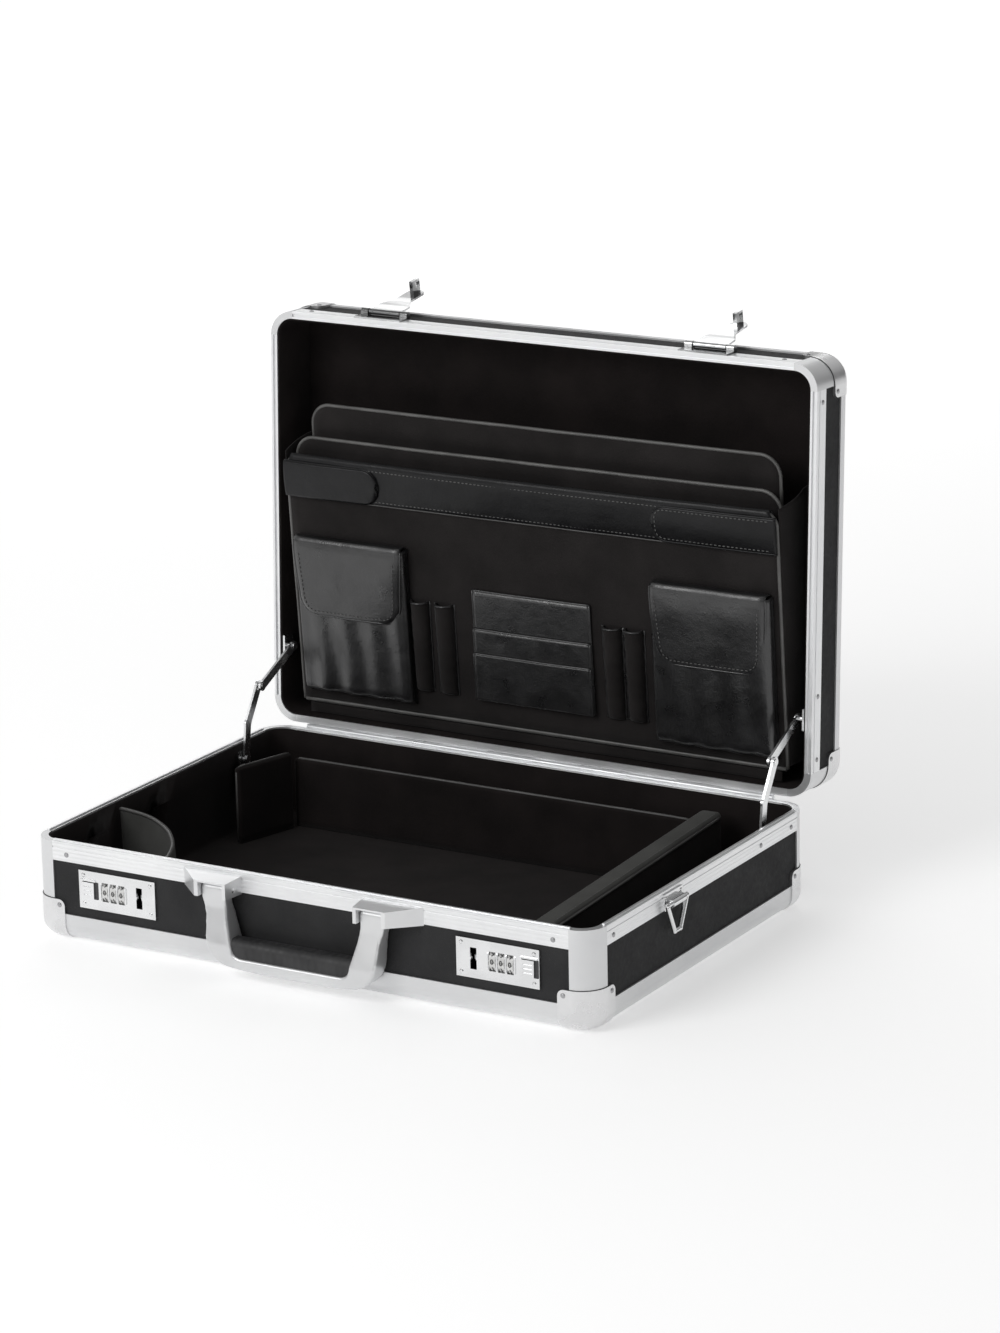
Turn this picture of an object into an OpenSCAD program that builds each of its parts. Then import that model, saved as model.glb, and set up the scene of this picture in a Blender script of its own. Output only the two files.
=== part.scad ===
// Aluminium framed attache case for a laptop, lid standing open, handle hanging in front.
// Origin on the outer face of the floor panel, at its centre. X right, Y to the back, Z up, mm.

/* [Case body] */
// Overall width over the wall frames
case_w = 460; // [414:1:506]
// Overall depth over the wall frames
case_d = 318; // [286:1:350]
// Height of the base, floor panel face to parting plane
base_h = 72; // [64:0.5:80]
// Height of the lid, panel face to parting plane
lid_h = 50; // [44:0.5:56]
// Gap between the two frames when the case is shut
part_gap = 0.3; // [0.2:0.1:0.6]
// Angle the lid stands open past shut
open_angle = 92.3; // [90:0.1:100]

/* [Frame extrusions] */
// Wall thickness of every extrusion
frame_t = 1.2; // [1:0.1:1.6]
// Thickness of the covered board panels
panel_t = 3; // [2.5:0.1:4]
// Outer radius of the four upright corners
corner_r = 19; // [16:0.5:22]
// Height of the bright band along the rim
rim_h = 14; // [12:0.5:16]
// Depth of the rim leg on the inside of a panel
rim_leg = 8; // [6:0.5:10]
// Solid head of the rim over a panel edge
rim_head = 3; // [2.5:0.1:4]
// Width of the seal tongue on the base rim
tongue_w = 1.6; // [1.2:0.1:2]
// Height of the seal tongue
tongue_h = 1.2; // [0.8:0.1:1.4]
// Clearance round the tongue in its groove
tongue_gap = 0.3; // [0.2:0.05:0.5]
// Leg of the bottom edge strip
base_strip = 19.5; // [17:0.5:22]
// Outer radius of the bottom edge strip
base_strip_r = 12; // [10:0.5:13]
// Leg of the lid edge strip
lid_strip = 13; // [12:0.5:16]
// Outer radius of the lid edge strip
lid_strip_r = 8; // [6:0.5:9]
// How far the inner legs of a strip stop short of the outer ones
strip_lap = 3.5; // [2:0.5:5]

/* [Corner caps and rivets] */
// Sheet thickness of the caps
cap_t = 0.8; // [0.6:0.1:1.2]
// Reach of a cap along each wall from the corner
cap_reach = 28; // [24:1:34]
// Height of the base caps above the floor face
base_cap_h = 29; // [26:1:32]
// Height of the lid caps above the lid face
lid_cap_h = 23; // [20:1:28]
// Corner radius of the cap lugs
lug_r = 5; // [3:0.5:6]
// Rivet head radius
rivet_r = 1.9; // [1.5:0.1:2.4]
// Rivet head height
rivet_h = 0.8; // [0.5:0.1:1.2]

/* [Lining] */
// Thickness of the padded wall lining
lining_t = 1.5; // [1:0.1:3]

/* [Piano hinge] */
// Outer radius of the knuckles
knuckle_r = 2.2; // [2:0.1:2.6]
// Radius of the hinge pin
hinge_pin_r = 1.1; // [0.9:0.05:1.3]
// Radial clearance of pins in their bores
pin_gap = 0.05; // [0.03:0.01:0.08]
// Distance of the hinge's ends from the side walls
hinge_in = 30; // [25:1:50]
// Number of knuckles along the hinge
knuckles = 10; // [8:2:16]
// Gap between two knuckles
knuckle_gap = 0.2; // [0.1:0.05:0.4]
// Height of a hinge leaf on the wall
leaf_h = 11; // [9:0.5:13]

/* [Combination locks] */
// Distance of each lock centre from the side wall
lock_in = 74; // [65:1:85]
// How far the locks sit above the middle of the open panel
lock_rise = 1.25; // [-0.5:0.25:2]
// Lock plate width
lock_w = 65; // [60:0.5:70]
// Lock plate height
lock_h = 28; // [26:0.5:30]
// Lock plate thickness
lock_t = 1.8; // [1.4:0.1:2.4]
// Depth of the housing behind the panel
housing_d = 17.2; // [16.8:0.1:19]
// Radius of a number wheel
dial_r = 9; // [8.6:0.1:9.2]
// Width of a number wheel
dial_w = 4.8; // [4.2:0.1:5]
// Spacing of the number wheels
dial_pitch = 7; // [6.8:0.1:7.4]
// Spindle radius
spindle_r = 1.95; // [1.6:0.05:2.2]
// Travel of the release button
slide_travel = 3; // [2.6:0.1:3.2]

/* [Hasps] */
// Distance of each hasp centre from the side wall
hasp_in = 93; // [90:0.5:96]
// Length of a hasp from its pin to its tip
hasp_len = 50; // [46:0.5:54]
// Width of a hasp at its pin
hasp_w = 26; // [22:0.5:30]
// Width of a hasp at its tip
hasp_tip_w = 14; // [11:0.5:18]
// Hasp sheet thickness
hasp_t = 1.5; // [1.2:0.1:2]
// Angle a hasp swings from folded back to shut
hasp_swing = 170; // [160:1:172]

/* [Carrying handle] */
// Half width over the arms at the pivots
arm_out = 74.5; // [70:0.5:80]
// Half width between the arms at the pivots
arm_in = 55; // [50:0.5:60]
// Depth of the handle, front to back
handle_d = 18; // [15:0.5:20]
// Height of the handle pivots
handle_z = 62; // [60:0.5:64]
// Distance of the pivots in front of the wall face
handle_off = 9; // [8:0.5:11]
// Radius of the handle pins
handle_pin_r = 2; // [1.6:0.1:2.5]

/* [Strap rings] */
// Distance of the strap rings in front of the middle
ring_y = 49; // [40:1:60]
// Radius of the ring wire
wire_r = 1.75; // [1.4:0.05:2]
// Drop of the ring below its barrel
ring_drop = 21; // [18:0.5:26]

/* [Lid stays] */
// Width of the stay links
link_w = 7; // [6:0.5:8]
// Thickness of the stay links
link_t = 1.8; // [1.5:0.1:2]
// Stay pin radius
stay_pin_r = 1.8; // [1.5:0.1:2.2]

/* [Dividers and lid organiser] */
// Top of the base dividers above the floor face
divider_top = 65; // [55:0.5:66]
// Width of the padded right divider
divider_w = 19; // [16:0.5:22]
// Forward lean of the organiser while the lid is open
organiser_tilt = 7; // [4:0.5:9]
// Board thickness in the organiser
board_t = 2; // [1.5:0.1:2.5]
// Depth of a pouch
pouch_d = 10; // [8:0.5:10]
// Width of a pouch
pouch_w = 96; // [88:1:100]

/* [Hidden] */
$fn = 48;
hw = case_w / 2;
hd = case_d / 2;
skin = 2 * frame_t + panel_t;          // depth of an extrusion, outer face to inner face
face = skin + lining_t;                // wall face to lining face
floor_z = skin - frame_t + lining_t;   // top of the floor lining
panel_y = hd - frame_t;                // outer face of the front panel
lid_z = base_h + part_gap;             // lid rim when shut
shut_h = lid_z + lid_h;                // lid panel face when shut
hinge_len = case_w - 2 * hinge_in;
hinge_y = hd + knuckle_r + part_gap;
hinge_z = base_h + part_gap / 2;
lock_x = hw - lock_in;
lock_z = (base_strip + base_h - rim_h) / 2 + lock_rise;
plate_y = panel_y + lock_t;            // front face of the lock plates
dial_y = plate_y - 7.9;
bolt_y = panel_y - 1.8;                // front face of the lock bolts
hasp_x = hw - hasp_in;
hasp_y = hd + 3.6;                     // hasp pin, shut
hasp_z = base_h + rim_h;
handle_y = hd + handle_off;
ring_x = hw + 4.1;
org_half = hw - 23;                    // half width of the organiser's front board
org_foot = hd - 18;                    // foot of the organiser's boards
org_y = org_foot + 3;                  // tilt line of the organiser
org_z = lid_z + 10;
pouch_x = org_half - 54;
slot_half = org_half - 157;            // half width of the card slots
// stay geometry in the side view, Y and Z: base pivot, knee, elbow, lid pivot when shut
stay_base = [hd - 54, base_h - 13];
stay_knee = [hd - 50.5, base_h + 14];
stay_elbow = [hd - 34, base_h + 40];
stay_lid = [hd - 58, base_h + 6];
stay_lo_x = hw - 11;                   // inner face of the lower link
stay_up_x = stay_lo_x - 3.4;           // inner face of the upper link
stay_lid_open = [
  hinge_y + (stay_lid[0] - hinge_y) * cos(open_angle) + (stay_lid[1] - hinge_z) * sin(open_angle),
  hinge_z - (stay_lid[0] - hinge_y) * sin(open_angle) + (stay_lid[1] - hinge_z) * cos(open_angle)];

// ---- placing ----

// a profile drawn inwards and upwards, run along the front wall
module along(len, dist) {
  translate([-len / 2, -dist, 0])
    rotate([90, 0, 90])
      linear_extrude(len) children();
}

// the same profile on all four walls, stopping at the corners
module four_walls() {
  for (a = [0, 180]) rotate([0, 0, a]) along(case_w - 2 * corner_r, hd) children();
  for (a = [90, 270]) rotate([0, 0, a]) along(case_d - 2 * corner_r, hw) children();
}

// a quarter turn of the same profile round each upright corner
module four_corners() {
  for (c = [[1, 1, 0], [-1, 1, 90], [-1, -1, 180], [1, -1, 270]])
    translate([c[0] * (hw - corner_r), c[1] * (hd - corner_r), 0])
      rotate([0, 0, c[2]])
        rotate_extrude(angle = 90, $fn = 96)
          translate([corner_r, 0]) mirror([1, 0]) children();
}

// shut position to open position
module open_lid() {
  translate([0, hinge_y, hinge_z])
    rotate([-open_angle, 0, 0])
      translate([0, -hinge_y, -hinge_z]) children();
}

// lid parts drawn panel face down, turned over and opened
module on_lid() {
  open_lid() translate([0, 0, shut_h]) mirror([0, 0, 1]) children();
}

// organiser parts drawn shut with Y from the boards' foot, leaning forward while the lid is open
module on_organiser() {
  open_lid()
    translate([0, org_y, org_z])
      rotate([organiser_tilt, 0, 0])
        translate([0, org_foot - org_y, -org_z]) children();
}

module both_sides() {
  children();
  mirror([1, 0, 0]) children();
}

// ---- frame sections, x from the wall face inwards, y upwards ----

module strip_profile(leg, r, wall_top) {
  top = wall_top - frame_t;
  difference() {
    union() {
      intersection() {
        translate([r, r - frame_t]) circle(r, $fn = 96);
        translate([0, -frame_t]) square(r);
      }
      translate([r, -frame_t]) square([leg - r, skin]);
      translate([0, r - frame_t]) square([skin, top - r + frame_t]);
    }
    translate([skin, skin - frame_t]) square([leg + r, top + r]);
    translate([frame_t, r - frame_t]) square([panel_t, top]);
    translate([r, 0]) square([leg, panel_t]);
    translate([skin - frame_t - 1, leg - frame_t - strip_lap]) square([frame_t + 2, top]);
    translate([leg - strip_lap, panel_t]) square([leg, frame_t + 2]);
  }
}

module rim_profile(h) {
  difference() {
    union() {
      translate([0, h - rim_head]) square([skin, rim_head]);
      translate([0, h - rim_h]) square([frame_t, rim_h]);
      translate([skin - frame_t, h - rim_leg]) square([frame_t, rim_leg]);
    }
    translate([-1, h - 4.6]) square([1.4, 1]);
  }
}

module post_profile(h, r) {
  difference() {
    union() {
      intersection() {
        translate([r, r - frame_t]) circle(r, $fn = 96);
        translate([0, -frame_t]) square(r);
      }
      translate([r, -frame_t]) square([corner_r - r, skin]);
      translate([0, r - frame_t]) square([skin, h - r + frame_t]);
    }
    translate([skin, skin - frame_t]) square([corner_r, h]);
    translate([frame_t, r - frame_t]) square([panel_t, h - rim_head - r + frame_t]);
    translate([r, 0]) square([corner_r, panel_t]);
  }
}

// band of sheet over a strip; the part above the strip also fills down to the panel
module cap_profile(leg, r, cap_h, straight) {
  difference() {
    union() {
      intersection() {
        translate([r, r - frame_t]) circle(r + cap_t, $fn = 96);
        translate([-cap_t, -frame_t - cap_t]) square(r + cap_t);
      }
      translate([r, -frame_t - cap_t]) square([straight ? leg - r : corner_r - r, cap_t]);
      translate([-cap_t, r - frame_t]) square([cap_t, cap_h - r + frame_t]);
      if (straight) translate([-cap_t, leg - frame_t]) square([cap_t + frame_t, cap_h - leg + frame_t]);
    }
    intersection() {
      translate([r, r - frame_t]) circle(r, $fn = 96);
      translate([0, -frame_t]) square(r + 0.01);
    }
  }
}

module caps(leg, r, cap_h) {
  run = cap_reach - corner_r;
  four_corners() cap_profile(leg, r, cap_h, false);
  for (s = [-1, 1], a = [0, 180]) rotate([0, 0, a])
    translate([s * (hw - corner_r - run / 2), 0, 0])
      lug(run, hd, s, leg, r, cap_h);
  for (s = [-1, 1], a = [90, 270]) rotate([0, 0, a])
    translate([s * (hd - corner_r - run / 2), 0, 0])
      lug(run, hw, s, leg, r, cap_h);
}

module lug(run, dist, s, leg, r, cap_h) {
  intersection() {
    along(run, dist) cap_profile(leg, r, cap_h, true);
    translate([0, -dist - 5, 0]) rotate([-90, 0, 0]) mirror([0, 1, 0]) linear_extrude(leg + 15) {
      translate([-run / 2, -5]) square([run, cap_h - lug_r + 5]);
      translate([s > 0 ? -run / 2 + lug_r : -run / 2, 0]) square([run - lug_r, cap_h]);
      translate([-s * (run / 2 - lug_r), cap_h - lug_r]) circle(lug_r);
    }
  }
}

module rivet() {
  cylinder(h = rivet_h * 0.6, r1 = rivet_r, r2 = rivet_r * 0.82, $fn = 24);
  translate([0, 0, rivet_h * 0.6])
    cylinder(h = rivet_h * 0.4, r1 = rivet_r * 0.82, r2 = rivet_r * 0.4, $fn = 24);
}

// a rivet standing out of wall a at distance x along it and height z
module wall_rivet(a, x, z, dist) {
  rotate([0, 0, a]) translate([x, -dist, z]) rotate([90, 0, 0]) rivet();
}

// rivets of one half; the cap rivets sit on the cap lugs
module rivets(h, cap_h) {
  for (a = [0, 180], s = [-1, 1])
    wall_rivet(a, s * (hw - cap_reach + 4.5), cap_h - 4.2, hd + cap_t);
  for (a = [90, 270], s = [-1, 1]) {
    wall_rivet(a, s * (hd - cap_reach + 4.5), cap_h - 4.2, hw + cap_t);
    wall_rivet(a, s * (hd - 28), h - 9, hw);
  }
  for (s = [-1, 1]) wall_rivet(0, s * (hw - 31), h - 9, hd);
  wall_rivet(90, 84, h - 9, hw);
  wall_rivet(270, -84, h - 9, hw);
}

module wall_panels(h, r) {
  four_walls() translate([frame_t, r - frame_t]) square([panel_t, h - rim_head - r + frame_t]);
}

module round_rect(inset, r) {
  translate([-hw + inset + r, -hd + inset]) square([case_w - 2 * inset - 2 * r, case_d - 2 * inset]);
  translate([-hw + inset, -hd + inset + r]) square([case_w - 2 * inset, case_d - 2 * inset - 2 * r]);
  for (x = [-1, 1], y = [-1, 1])
    translate([x * (hw - inset - r), y * (hd - inset - r)]) circle(r, $fn = 96);
}

module lining(h, leg) {
  side = skin - frame_t;
  difference() {
    union() {
      translate([0, 0, side]) linear_extrude(h - 1 - side) round_rect(skin, corner_r - skin);
      translate([-hw + leg - strip_lap, -hd + corner_r, panel_t])
        cube([case_w - 2 * (leg - strip_lap), case_d - 2 * corner_r, 2]);
      translate([-hw + corner_r, -hd + leg - strip_lap, panel_t])
        cube([case_w - 2 * corner_r, case_d - 2 * (leg - strip_lap), 2]);
      translate([-hw + corner_r, -hd + side, leg - strip_lap])
        cube([case_w - 2 * corner_r, case_d - 2 * side, h - rim_leg - leg + strip_lap]);
      translate([-hw + side, -hd + corner_r, leg - strip_lap])
        cube([case_w - 2 * side, case_d - 2 * corner_r, h - rim_leg - leg + strip_lap]);
    }
    translate([0, 0, side + lining_t]) linear_extrude(h) round_rect(face, corner_r - face);
  }
}

// ---- base ----

// the panel's margin stands back by pin_gap under the edge strips
module base_floor_panel() {
  color("#191919") {
    linear_extrude(panel_t) round_rect(base_strip + pin_gap, 1);
    translate([0, 0, pin_gap]) linear_extrude(panel_t - pin_gap)
      round_rect(base_strip_r, corner_r - base_strip_r);
  }
}

module lock_holes(grow) {
  both_sides()
    translate([lock_x - lock_w / 2 + 2 - grow, -hd - 1, lock_z - lock_h / 2 + 1 - grow])
      cube([lock_w - 4 + 2 * grow, housing_d + 2.5, lock_h - 2 + 2 * grow]);
}

module base_wall_panels() {
  color("#191919")
    difference() {
      wall_panels(base_h, base_strip_r);
      lock_holes(0.3);
    }
}

module base_rims() {
  color("#e3e4e6") {
    four_walls() rim_profile(base_h);
    for (a = [0, 90, 270]) rotate([0, 0, a])
      along((a == 0 ? case_w : case_d) - 2 * corner_r, a == 0 ? hd : hw)
        translate([(skin - tongue_w) / 2, base_h]) square([tongue_w, tongue_h]);
  }
}

module base_edge_strips() {
  color("#e3e4e6") four_walls() strip_profile(base_strip, base_strip_r, base_strip);
}

module base_corner_posts() {
  color("#e3e4e6") four_corners() post_profile(base_h, base_strip_r);
}

module base_corner_caps() {
  color("#f0f1f3") caps(base_strip, base_strip_r, base_cap_h);
}

module base_rivets() {
  color("#cfd1d4") rivets(base_h, base_cap_h);
}

module base_lining() {
  color("#0f0f10")
    difference() {
      lining(base_h, base_strip);
      lock_holes(0.3);
    }
}

// padded wall beside the laptop bay, running to the back
module divider_right() {
  run = case_d - 48;
  color("#3a3a38")
    translate([hw - 60.5, 3, 0]) rotate([0, 0, 93.1]) rotate([90, 0, 90])
      translate([0, 0, -run / 2]) linear_extrude(run) {
        translate([-divider_w / 2, floor_z + 0.3]) square([divider_w, divider_top - 4.3 - floor_z]);
        translate([-divider_w / 2 + 4, divider_top - 6]) square([divider_w - 8, 6]);
        for (s = [-1, 1]) translate([s * (divider_w / 2 - 4), divider_top - 4]) circle(4, $fn = 32);
      }
}

// low wall behind the laptop bay
module divider_rear() {
  color("#141415")
    translate([-hw + 42, hd - 38, floor_z + 0.3]) cube([case_w - 119, 7, divider_top - 6.3 - floor_z]);
}

// short padded wall at the left, by the stay
module divider_left() {
  color("#141415")
    translate([-hw + 24, hd - 93, floor_z + 0.3]) rotate([0, 0, -16]) cube([7, 54, divider_top - 0.3 - floor_z]);
}

// curved flap across the front left corner
module divider_strap() {
  flap_r = 92;
  color("#2c2c2b")
    difference() {
      translate([-hw + face + 0.3, -hd + face + 0.3, floor_z + 0.3])
        rotate_extrude(angle = 90, $fn = 96)
          translate([flap_r - 2.5, 0]) square([2.5, divider_top - floor_z - 0.3]);
      lock_holes(0.3);
    }
}

module handle_brackets() {
  color("#e6e7e9")
    both_sides() difference() {
      intersection() {
        translate([0, 0, 57]) linear_extrude(13)
          polygon([[50, -hd], [98, -hd], [78, -hd - 18], [52, -hd - 18]]);
        rotate([90, 0, 90]) linear_extrude(120)
          polygon([[-hd, 57], [-hd, 70], [-hd - 18, 68.6], [-hd - 18, 57]]);
      }
      translate([arm_in - 0.3, -hd - 30, 50]) cube([arm_out - arm_in + 0.6, 27.8, handle_z + 5.3 - 50]);
      translate([40, -handle_y, handle_z]) rotate([0, 90, 0]) cylinder(h = 40, r = handle_pin_r);
    }
}

module handle_pins() {
  color("#c8cacd")
    both_sides() translate([51.2, -handle_y, handle_z])
      rotate([0, 90, 0]) cylinder(h = 28.8, r = handle_pin_r);
}

// ---- locks ----

// side is 1 for the right lock and -1 for the left one
module on_lock(side) {
  translate([side * lock_x, 0, lock_z]) children();
}

module lock_plate(side) {
  on_lock(side) mirror([side > 0 ? 0 : 1, 0, 0]) {
    difference() {
      translate([-lock_w / 2, -plate_y, -lock_h / 2]) cube([lock_w, lock_t, lock_h]);
      // hasp slot, pinched in the middle
      translate([hasp_x - lock_x, -plate_y - 1, 0]) rotate([-90, 0, 0]) linear_extrude(lock_t + 2) {
        for (s = [-1, 1]) translate([-2.5, s * 4.4 - 3.35]) square([5, 6.7]);
        translate([-2, -3]) square([4, 6]);
      }
      for (k = [-1, 0, 1])
        translate([3 + k * dial_pitch - dial_w / 2 - 0.3, -plate_y - 1, -7])
          cube([dial_w + 0.6, lock_t + 2, 14]);
    }
    // ribs between the wheels
    for (k = [-1.5, -0.5, 0.5, 1.5])
      translate([3 + k * dial_pitch - 0.5, -plate_y - 0.9, -6]) cube([1, 0.9, 12]);
    // rail above the button and four screw heads
    translate([18, -plate_y - 0.9, 6.6]) cube([13, 0.9, 1.2]);
    for (x = [-28.5, 28.5], z = [-10.6, 10.6])
      translate([x, -plate_y, z]) rotate([90, 0, 0]) cylinder(h = 0.6, r1 = 1.7, r2 = 1, $fn = 24);
  }
}

// slot for the button stem; both buttons move to the right
module stem_slot(side) {
  on_lock(side) translate([side * 24 - 2.2, -plate_y - 1, -2.7])
    cube([4.4 + slide_travel, lock_t + 2, 5.4]);
}

module lock_plates() {
  color("#d9dbde")
    for (side = [-1, 1]) difference() {
      lock_plate(side);
      stem_slot(side);
    }
}

module lock_housings() {
  color("#b9bbbf")
    for (side = [-1, 1]) on_lock(side) {
      difference() {
        translate([-lock_w / 2 + 2, -panel_y, -lock_h / 2 + 1]) cube([lock_w - 4, housing_d, lock_h - 2]);
        translate([-lock_w / 2 + 3.2, -panel_y - 1, -lock_h / 2 + 2.2])
          cube([lock_w - 6.4, housing_d - 0.2, lock_h - 4.4]);
      }
      // spindle and its two webs
      translate([side * 3 - 11, -dial_y, 0]) rotate([0, 90, 0]) cylinder(h = 22, r = spindle_r);
      for (s = [-1, 1]) difference() {
        translate([side * 3 + s * 10.4 - 0.6, -dial_y - 3, -8])
          cube([1.2, dial_y + 3 - panel_y + housing_d - 1.2, 13]);
        translate([side * 3 - 12, -dial_y, 0]) rotate([0, 90, 0]) cylinder(h = 24, r = spindle_r);
      }
    }
}

// a number wheel with ten finger notches
module dial(x) {
  color("#e8e8e6")
    translate([x - dial_w / 2, -dial_y, lock_z]) rotate([0, 90, 0])
      difference() {
        cylinder(h = dial_w, r = dial_r, $fn = 60);
        translate([0, 0, -1]) cylinder(h = dial_w + 2, r = spindle_r + pin_gap);
        for (k = [0:9]) rotate([0, 0, k * 36 + 18])
          translate([dial_r + 0.25, 0, -1]) cylinder(h = dial_w + 2, r = 0.9, $fn = 16);
      }
}

module dial_left_1() { dial(-lock_x - 3 - dial_pitch); }
module dial_left_2() { dial(-lock_x - 3); }
module dial_left_3() { dial(-lock_x - 3 + dial_pitch); }
module dial_right_1() { dial(lock_x + 3 - dial_pitch); }
module dial_right_2() { dial(lock_x + 3); }
module dial_right_3() { dial(lock_x + 3 + dial_pitch); }

module lock_button(side) {
  color("#f0f1f3")
    on_lock(side) translate([side * 24, 0, 0]) {
      difference() {
        translate([-5, -plate_y - 1.5, -6]) cube([10, 1.3, 12]);
        for (z = [-3, 0, 3]) translate([-3.6, -plate_y - 2, z - 0.4]) cube([7.2, 0.9, 0.8]);
      }
      translate([-2, -plate_y - 0.3, -2.5]) cube([4, plate_y - bolt_y + 0.3, 5]);
    }
}

module lock_button_left() { lock_button(-1); }
module lock_button_right() { lock_button(1); }

// bar under the wheels with a hook that reaches the hasp loop from its right
module lock_bolt(side) {
  hook = side * (hasp_x - lock_x) + 4;
  stem = side * 24;
  color("#a9abaf")
    on_lock(side) translate([0, -bolt_y, 0]) {
      translate([stem - 2, 0, -11.5]) cube([4, 2, 14]);
      translate([min(stem - 2, hook), 0, -11.5]) cube([abs(stem - hook) + 2, 2, 1.8]);
      translate([hook, 0, -11.5]) cube([3, 2, 13]);
      translate([hook - 5, 0, -1.5]) cube([5, 2, 3]);
    }
}

module lock_bolt_left() { lock_bolt(-1); }
module lock_bolt_right() { lock_bolt(1); }

// ---- handle ----

// outer and inner outline in the front view, X and Z
module handle_outer() {
  intersection() {
    union() {
      translate([-46.6, 0]) square([93.2, 50]);
      for (s = [-1, 1]) translate([s * 46.6, 31]) circle(23.2, $fn = 96);
      polygon([[-69.8, 31], [-71, 44], [-arm_out, 55], [-arm_out, 70],
        [arm_out, 70], [arm_out, 55], [71, 44], [69.8, 31]]);
    }
    translate([0, 348.1]) circle(343.6, $fn = 720);
  }
}

module handle_inner() {
  polygon([[-arm_in, 80], [-arm_in, 54], [-53, 42], [-48, 23.5],
    [48, 23.5], [53, 42], [arm_in, 54], [arm_in, 80]]);
  translate([-41, 16.5]) square([82, 8]);
  for (s = [-1, 1]) translate([s * 41, 23.5]) circle(7);
}

// side view of the whole handle, Y and Z
module handle_side() {
  y0 = -handle_y;
  translate([y0, handle_z]) circle(5);
  polygon([[y0 - 5, handle_z], [y0 - 5, 50], [y0 - 11, 43], [y0 - 11, 13.5],
    [y0 - 11 + handle_d, 13.5], [y0 - 11 + handle_d, 44], [y0 + 5, 50], [y0 + 5, handle_z]]);
  translate([y0 - 11 + handle_d / 2, 13.5]) circle(handle_d / 2);
}

module handle_shell() {
  color("#dcdee1")
    difference() {
      intersection() {
        translate([0, -130, 0]) rotate([90, 0, 0]) linear_extrude(80)
          difference() {
            handle_outer();
            handle_inner();
          }
        translate([-120, 0, 0]) rotate([90, 0, 90]) linear_extrude(240) handle_side();
      }
      translate([-120, -handle_y, handle_z])
        rotate([0, 90, 0]) cylinder(h = 240, r = handle_pin_r + pin_gap);
    }
}

module handle_grip() {
  y0 = -handle_y - 11 + handle_d / 2;
  color("#151516")
    intersection() {
      translate([0, -130, 0]) rotate([90, 0, 0]) linear_extrude(80)
        intersection() {
          handle_inner();
          translate([-60, 0]) square([120, 29]);
        }
      translate([-120, 0, 0]) rotate([90, 0, 90]) linear_extrude(240) {
        translate([y0 - 7.5, 10]) square([15, 14]);
        translate([y0 - 2.5, 20]) square([5, 9]);
        for (s = [-1, 1]) translate([y0 + s * 2.5, 24]) circle(5);
      }
    }
}

// ---- strap rings ----

module strap_brackets() {
  color("#c9cbce")
    both_sides() difference() {
      union() {
        translate([hw, -ring_y - 13, 58]) cube([1.5, 26, 12]);
        translate([hw + 1, -ring_y - 9, 60.5]) cube([2, 18, 5]);
        translate([ring_x, -ring_y - 9, 63]) rotate([-90, 0, 0]) cylinder(h = 18, r = 3);
        for (s = [-1, 1]) translate([hw + 1.5, -ring_y + s * 10.8, 67.4])
          rotate([0, 90, 0]) cylinder(h = 0.7, r1 = 1.5, r2 = 0.9, $fn = 24);
      }
      translate([ring_x, -ring_y - 20, 63]) rotate([-90, 0, 0]) cylinder(h = 40, r = wire_r + pin_gap);
    }
}

// wire ring through four corners, drawn flat and stood up along the wall
module strap_ring() {
  pts = [[-4, -ring_drop], [4, -ring_drop], [14, 0], [-14, 0]];
  color("#cfd1d4")
    translate([ring_x, -ring_y, 63]) rotate([90, 0, 90])
      for (i = [0:3]) {
        run = pts[(i + 1) % 4] - pts[i];
        translate(pts[i]) {
          sphere(wire_r + 0.2, $fn = 32);
          rotate(atan2(run[1], run[0])) rotate([0, 90, 0]) cylinder(h = norm(run), r = wire_r, $fn = 32);
        }
      }
}

module strap_ring_right() { strap_ring(); }
module strap_ring_left() { mirror([1, 0, 0]) strap_ring(); }

// ---- hinge ----

// knuckles first, first + 2 and so on, with the tab that joins each to its leaf
module knuckle_row(first, up) {
  pitch = hinge_len / knuckles;
  difference() {
    union() {
      for (k = [first:2:knuckles - 1]) translate([-hinge_len / 2 + k * pitch + knuckle_gap / 2, 0, 0]) {
        translate([0, hinge_y, hinge_z])
          rotate([0, 90, 0]) cylinder(h = pitch - knuckle_gap, r = knuckle_r);
        translate([0, hd, up > 0 ? hinge_z : hinge_z - 2.4]) cube([pitch - knuckle_gap, 1, 2.4]);
      }
      translate([-hinge_len / 2, hd, up > 0 ? hinge_z + 2.35 : hinge_z - leaf_h])
        cube([hinge_len, 1, leaf_h - 2.35]);
    }
    translate([-hinge_len, hinge_y, hinge_z]) rotate([0, 90, 0])
      cylinder(h = 2 * hinge_len, r = hinge_pin_r + pin_gap);
  }
}

module hinge_base_leaf() {
  color("#c9cbce") knuckle_row(0, -1);
}

module hinge_lid_leaf() {
  color("#c9cbce") open_lid() knuckle_row(1, 1);
}

module hinge_pin() {
  color("#b5b7ba")
    translate([-hinge_len / 2, hinge_y, hinge_z])
      rotate([0, 90, 0]) cylinder(h = hinge_len, r = hinge_pin_r);
}

// ---- lid stays ----

// flat link through a list of points, lying between x and x + link_t
module link(x, pts) {
  translate([x, 0, 0]) rotate([90, 0, 90]) linear_extrude(link_t) {
    for (p = pts) translate(p) circle(link_w / 2 + 0.4);
    for (i = [0:len(pts) - 2]) {
      d = pts[i + 1] - pts[i];
      translate(pts[i]) rotate(atan2(d[1], d[0])) translate([0, -link_w / 2]) square([norm(d), link_w]);
    }
  }
}

// round boss or head along X at a point of the side view
module boss(x, p, len, r) {
  translate([x, p[0], p[1]]) rotate([0, 90, 0]) cylinder(h = len, r = r, $fn = 32);
}

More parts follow.
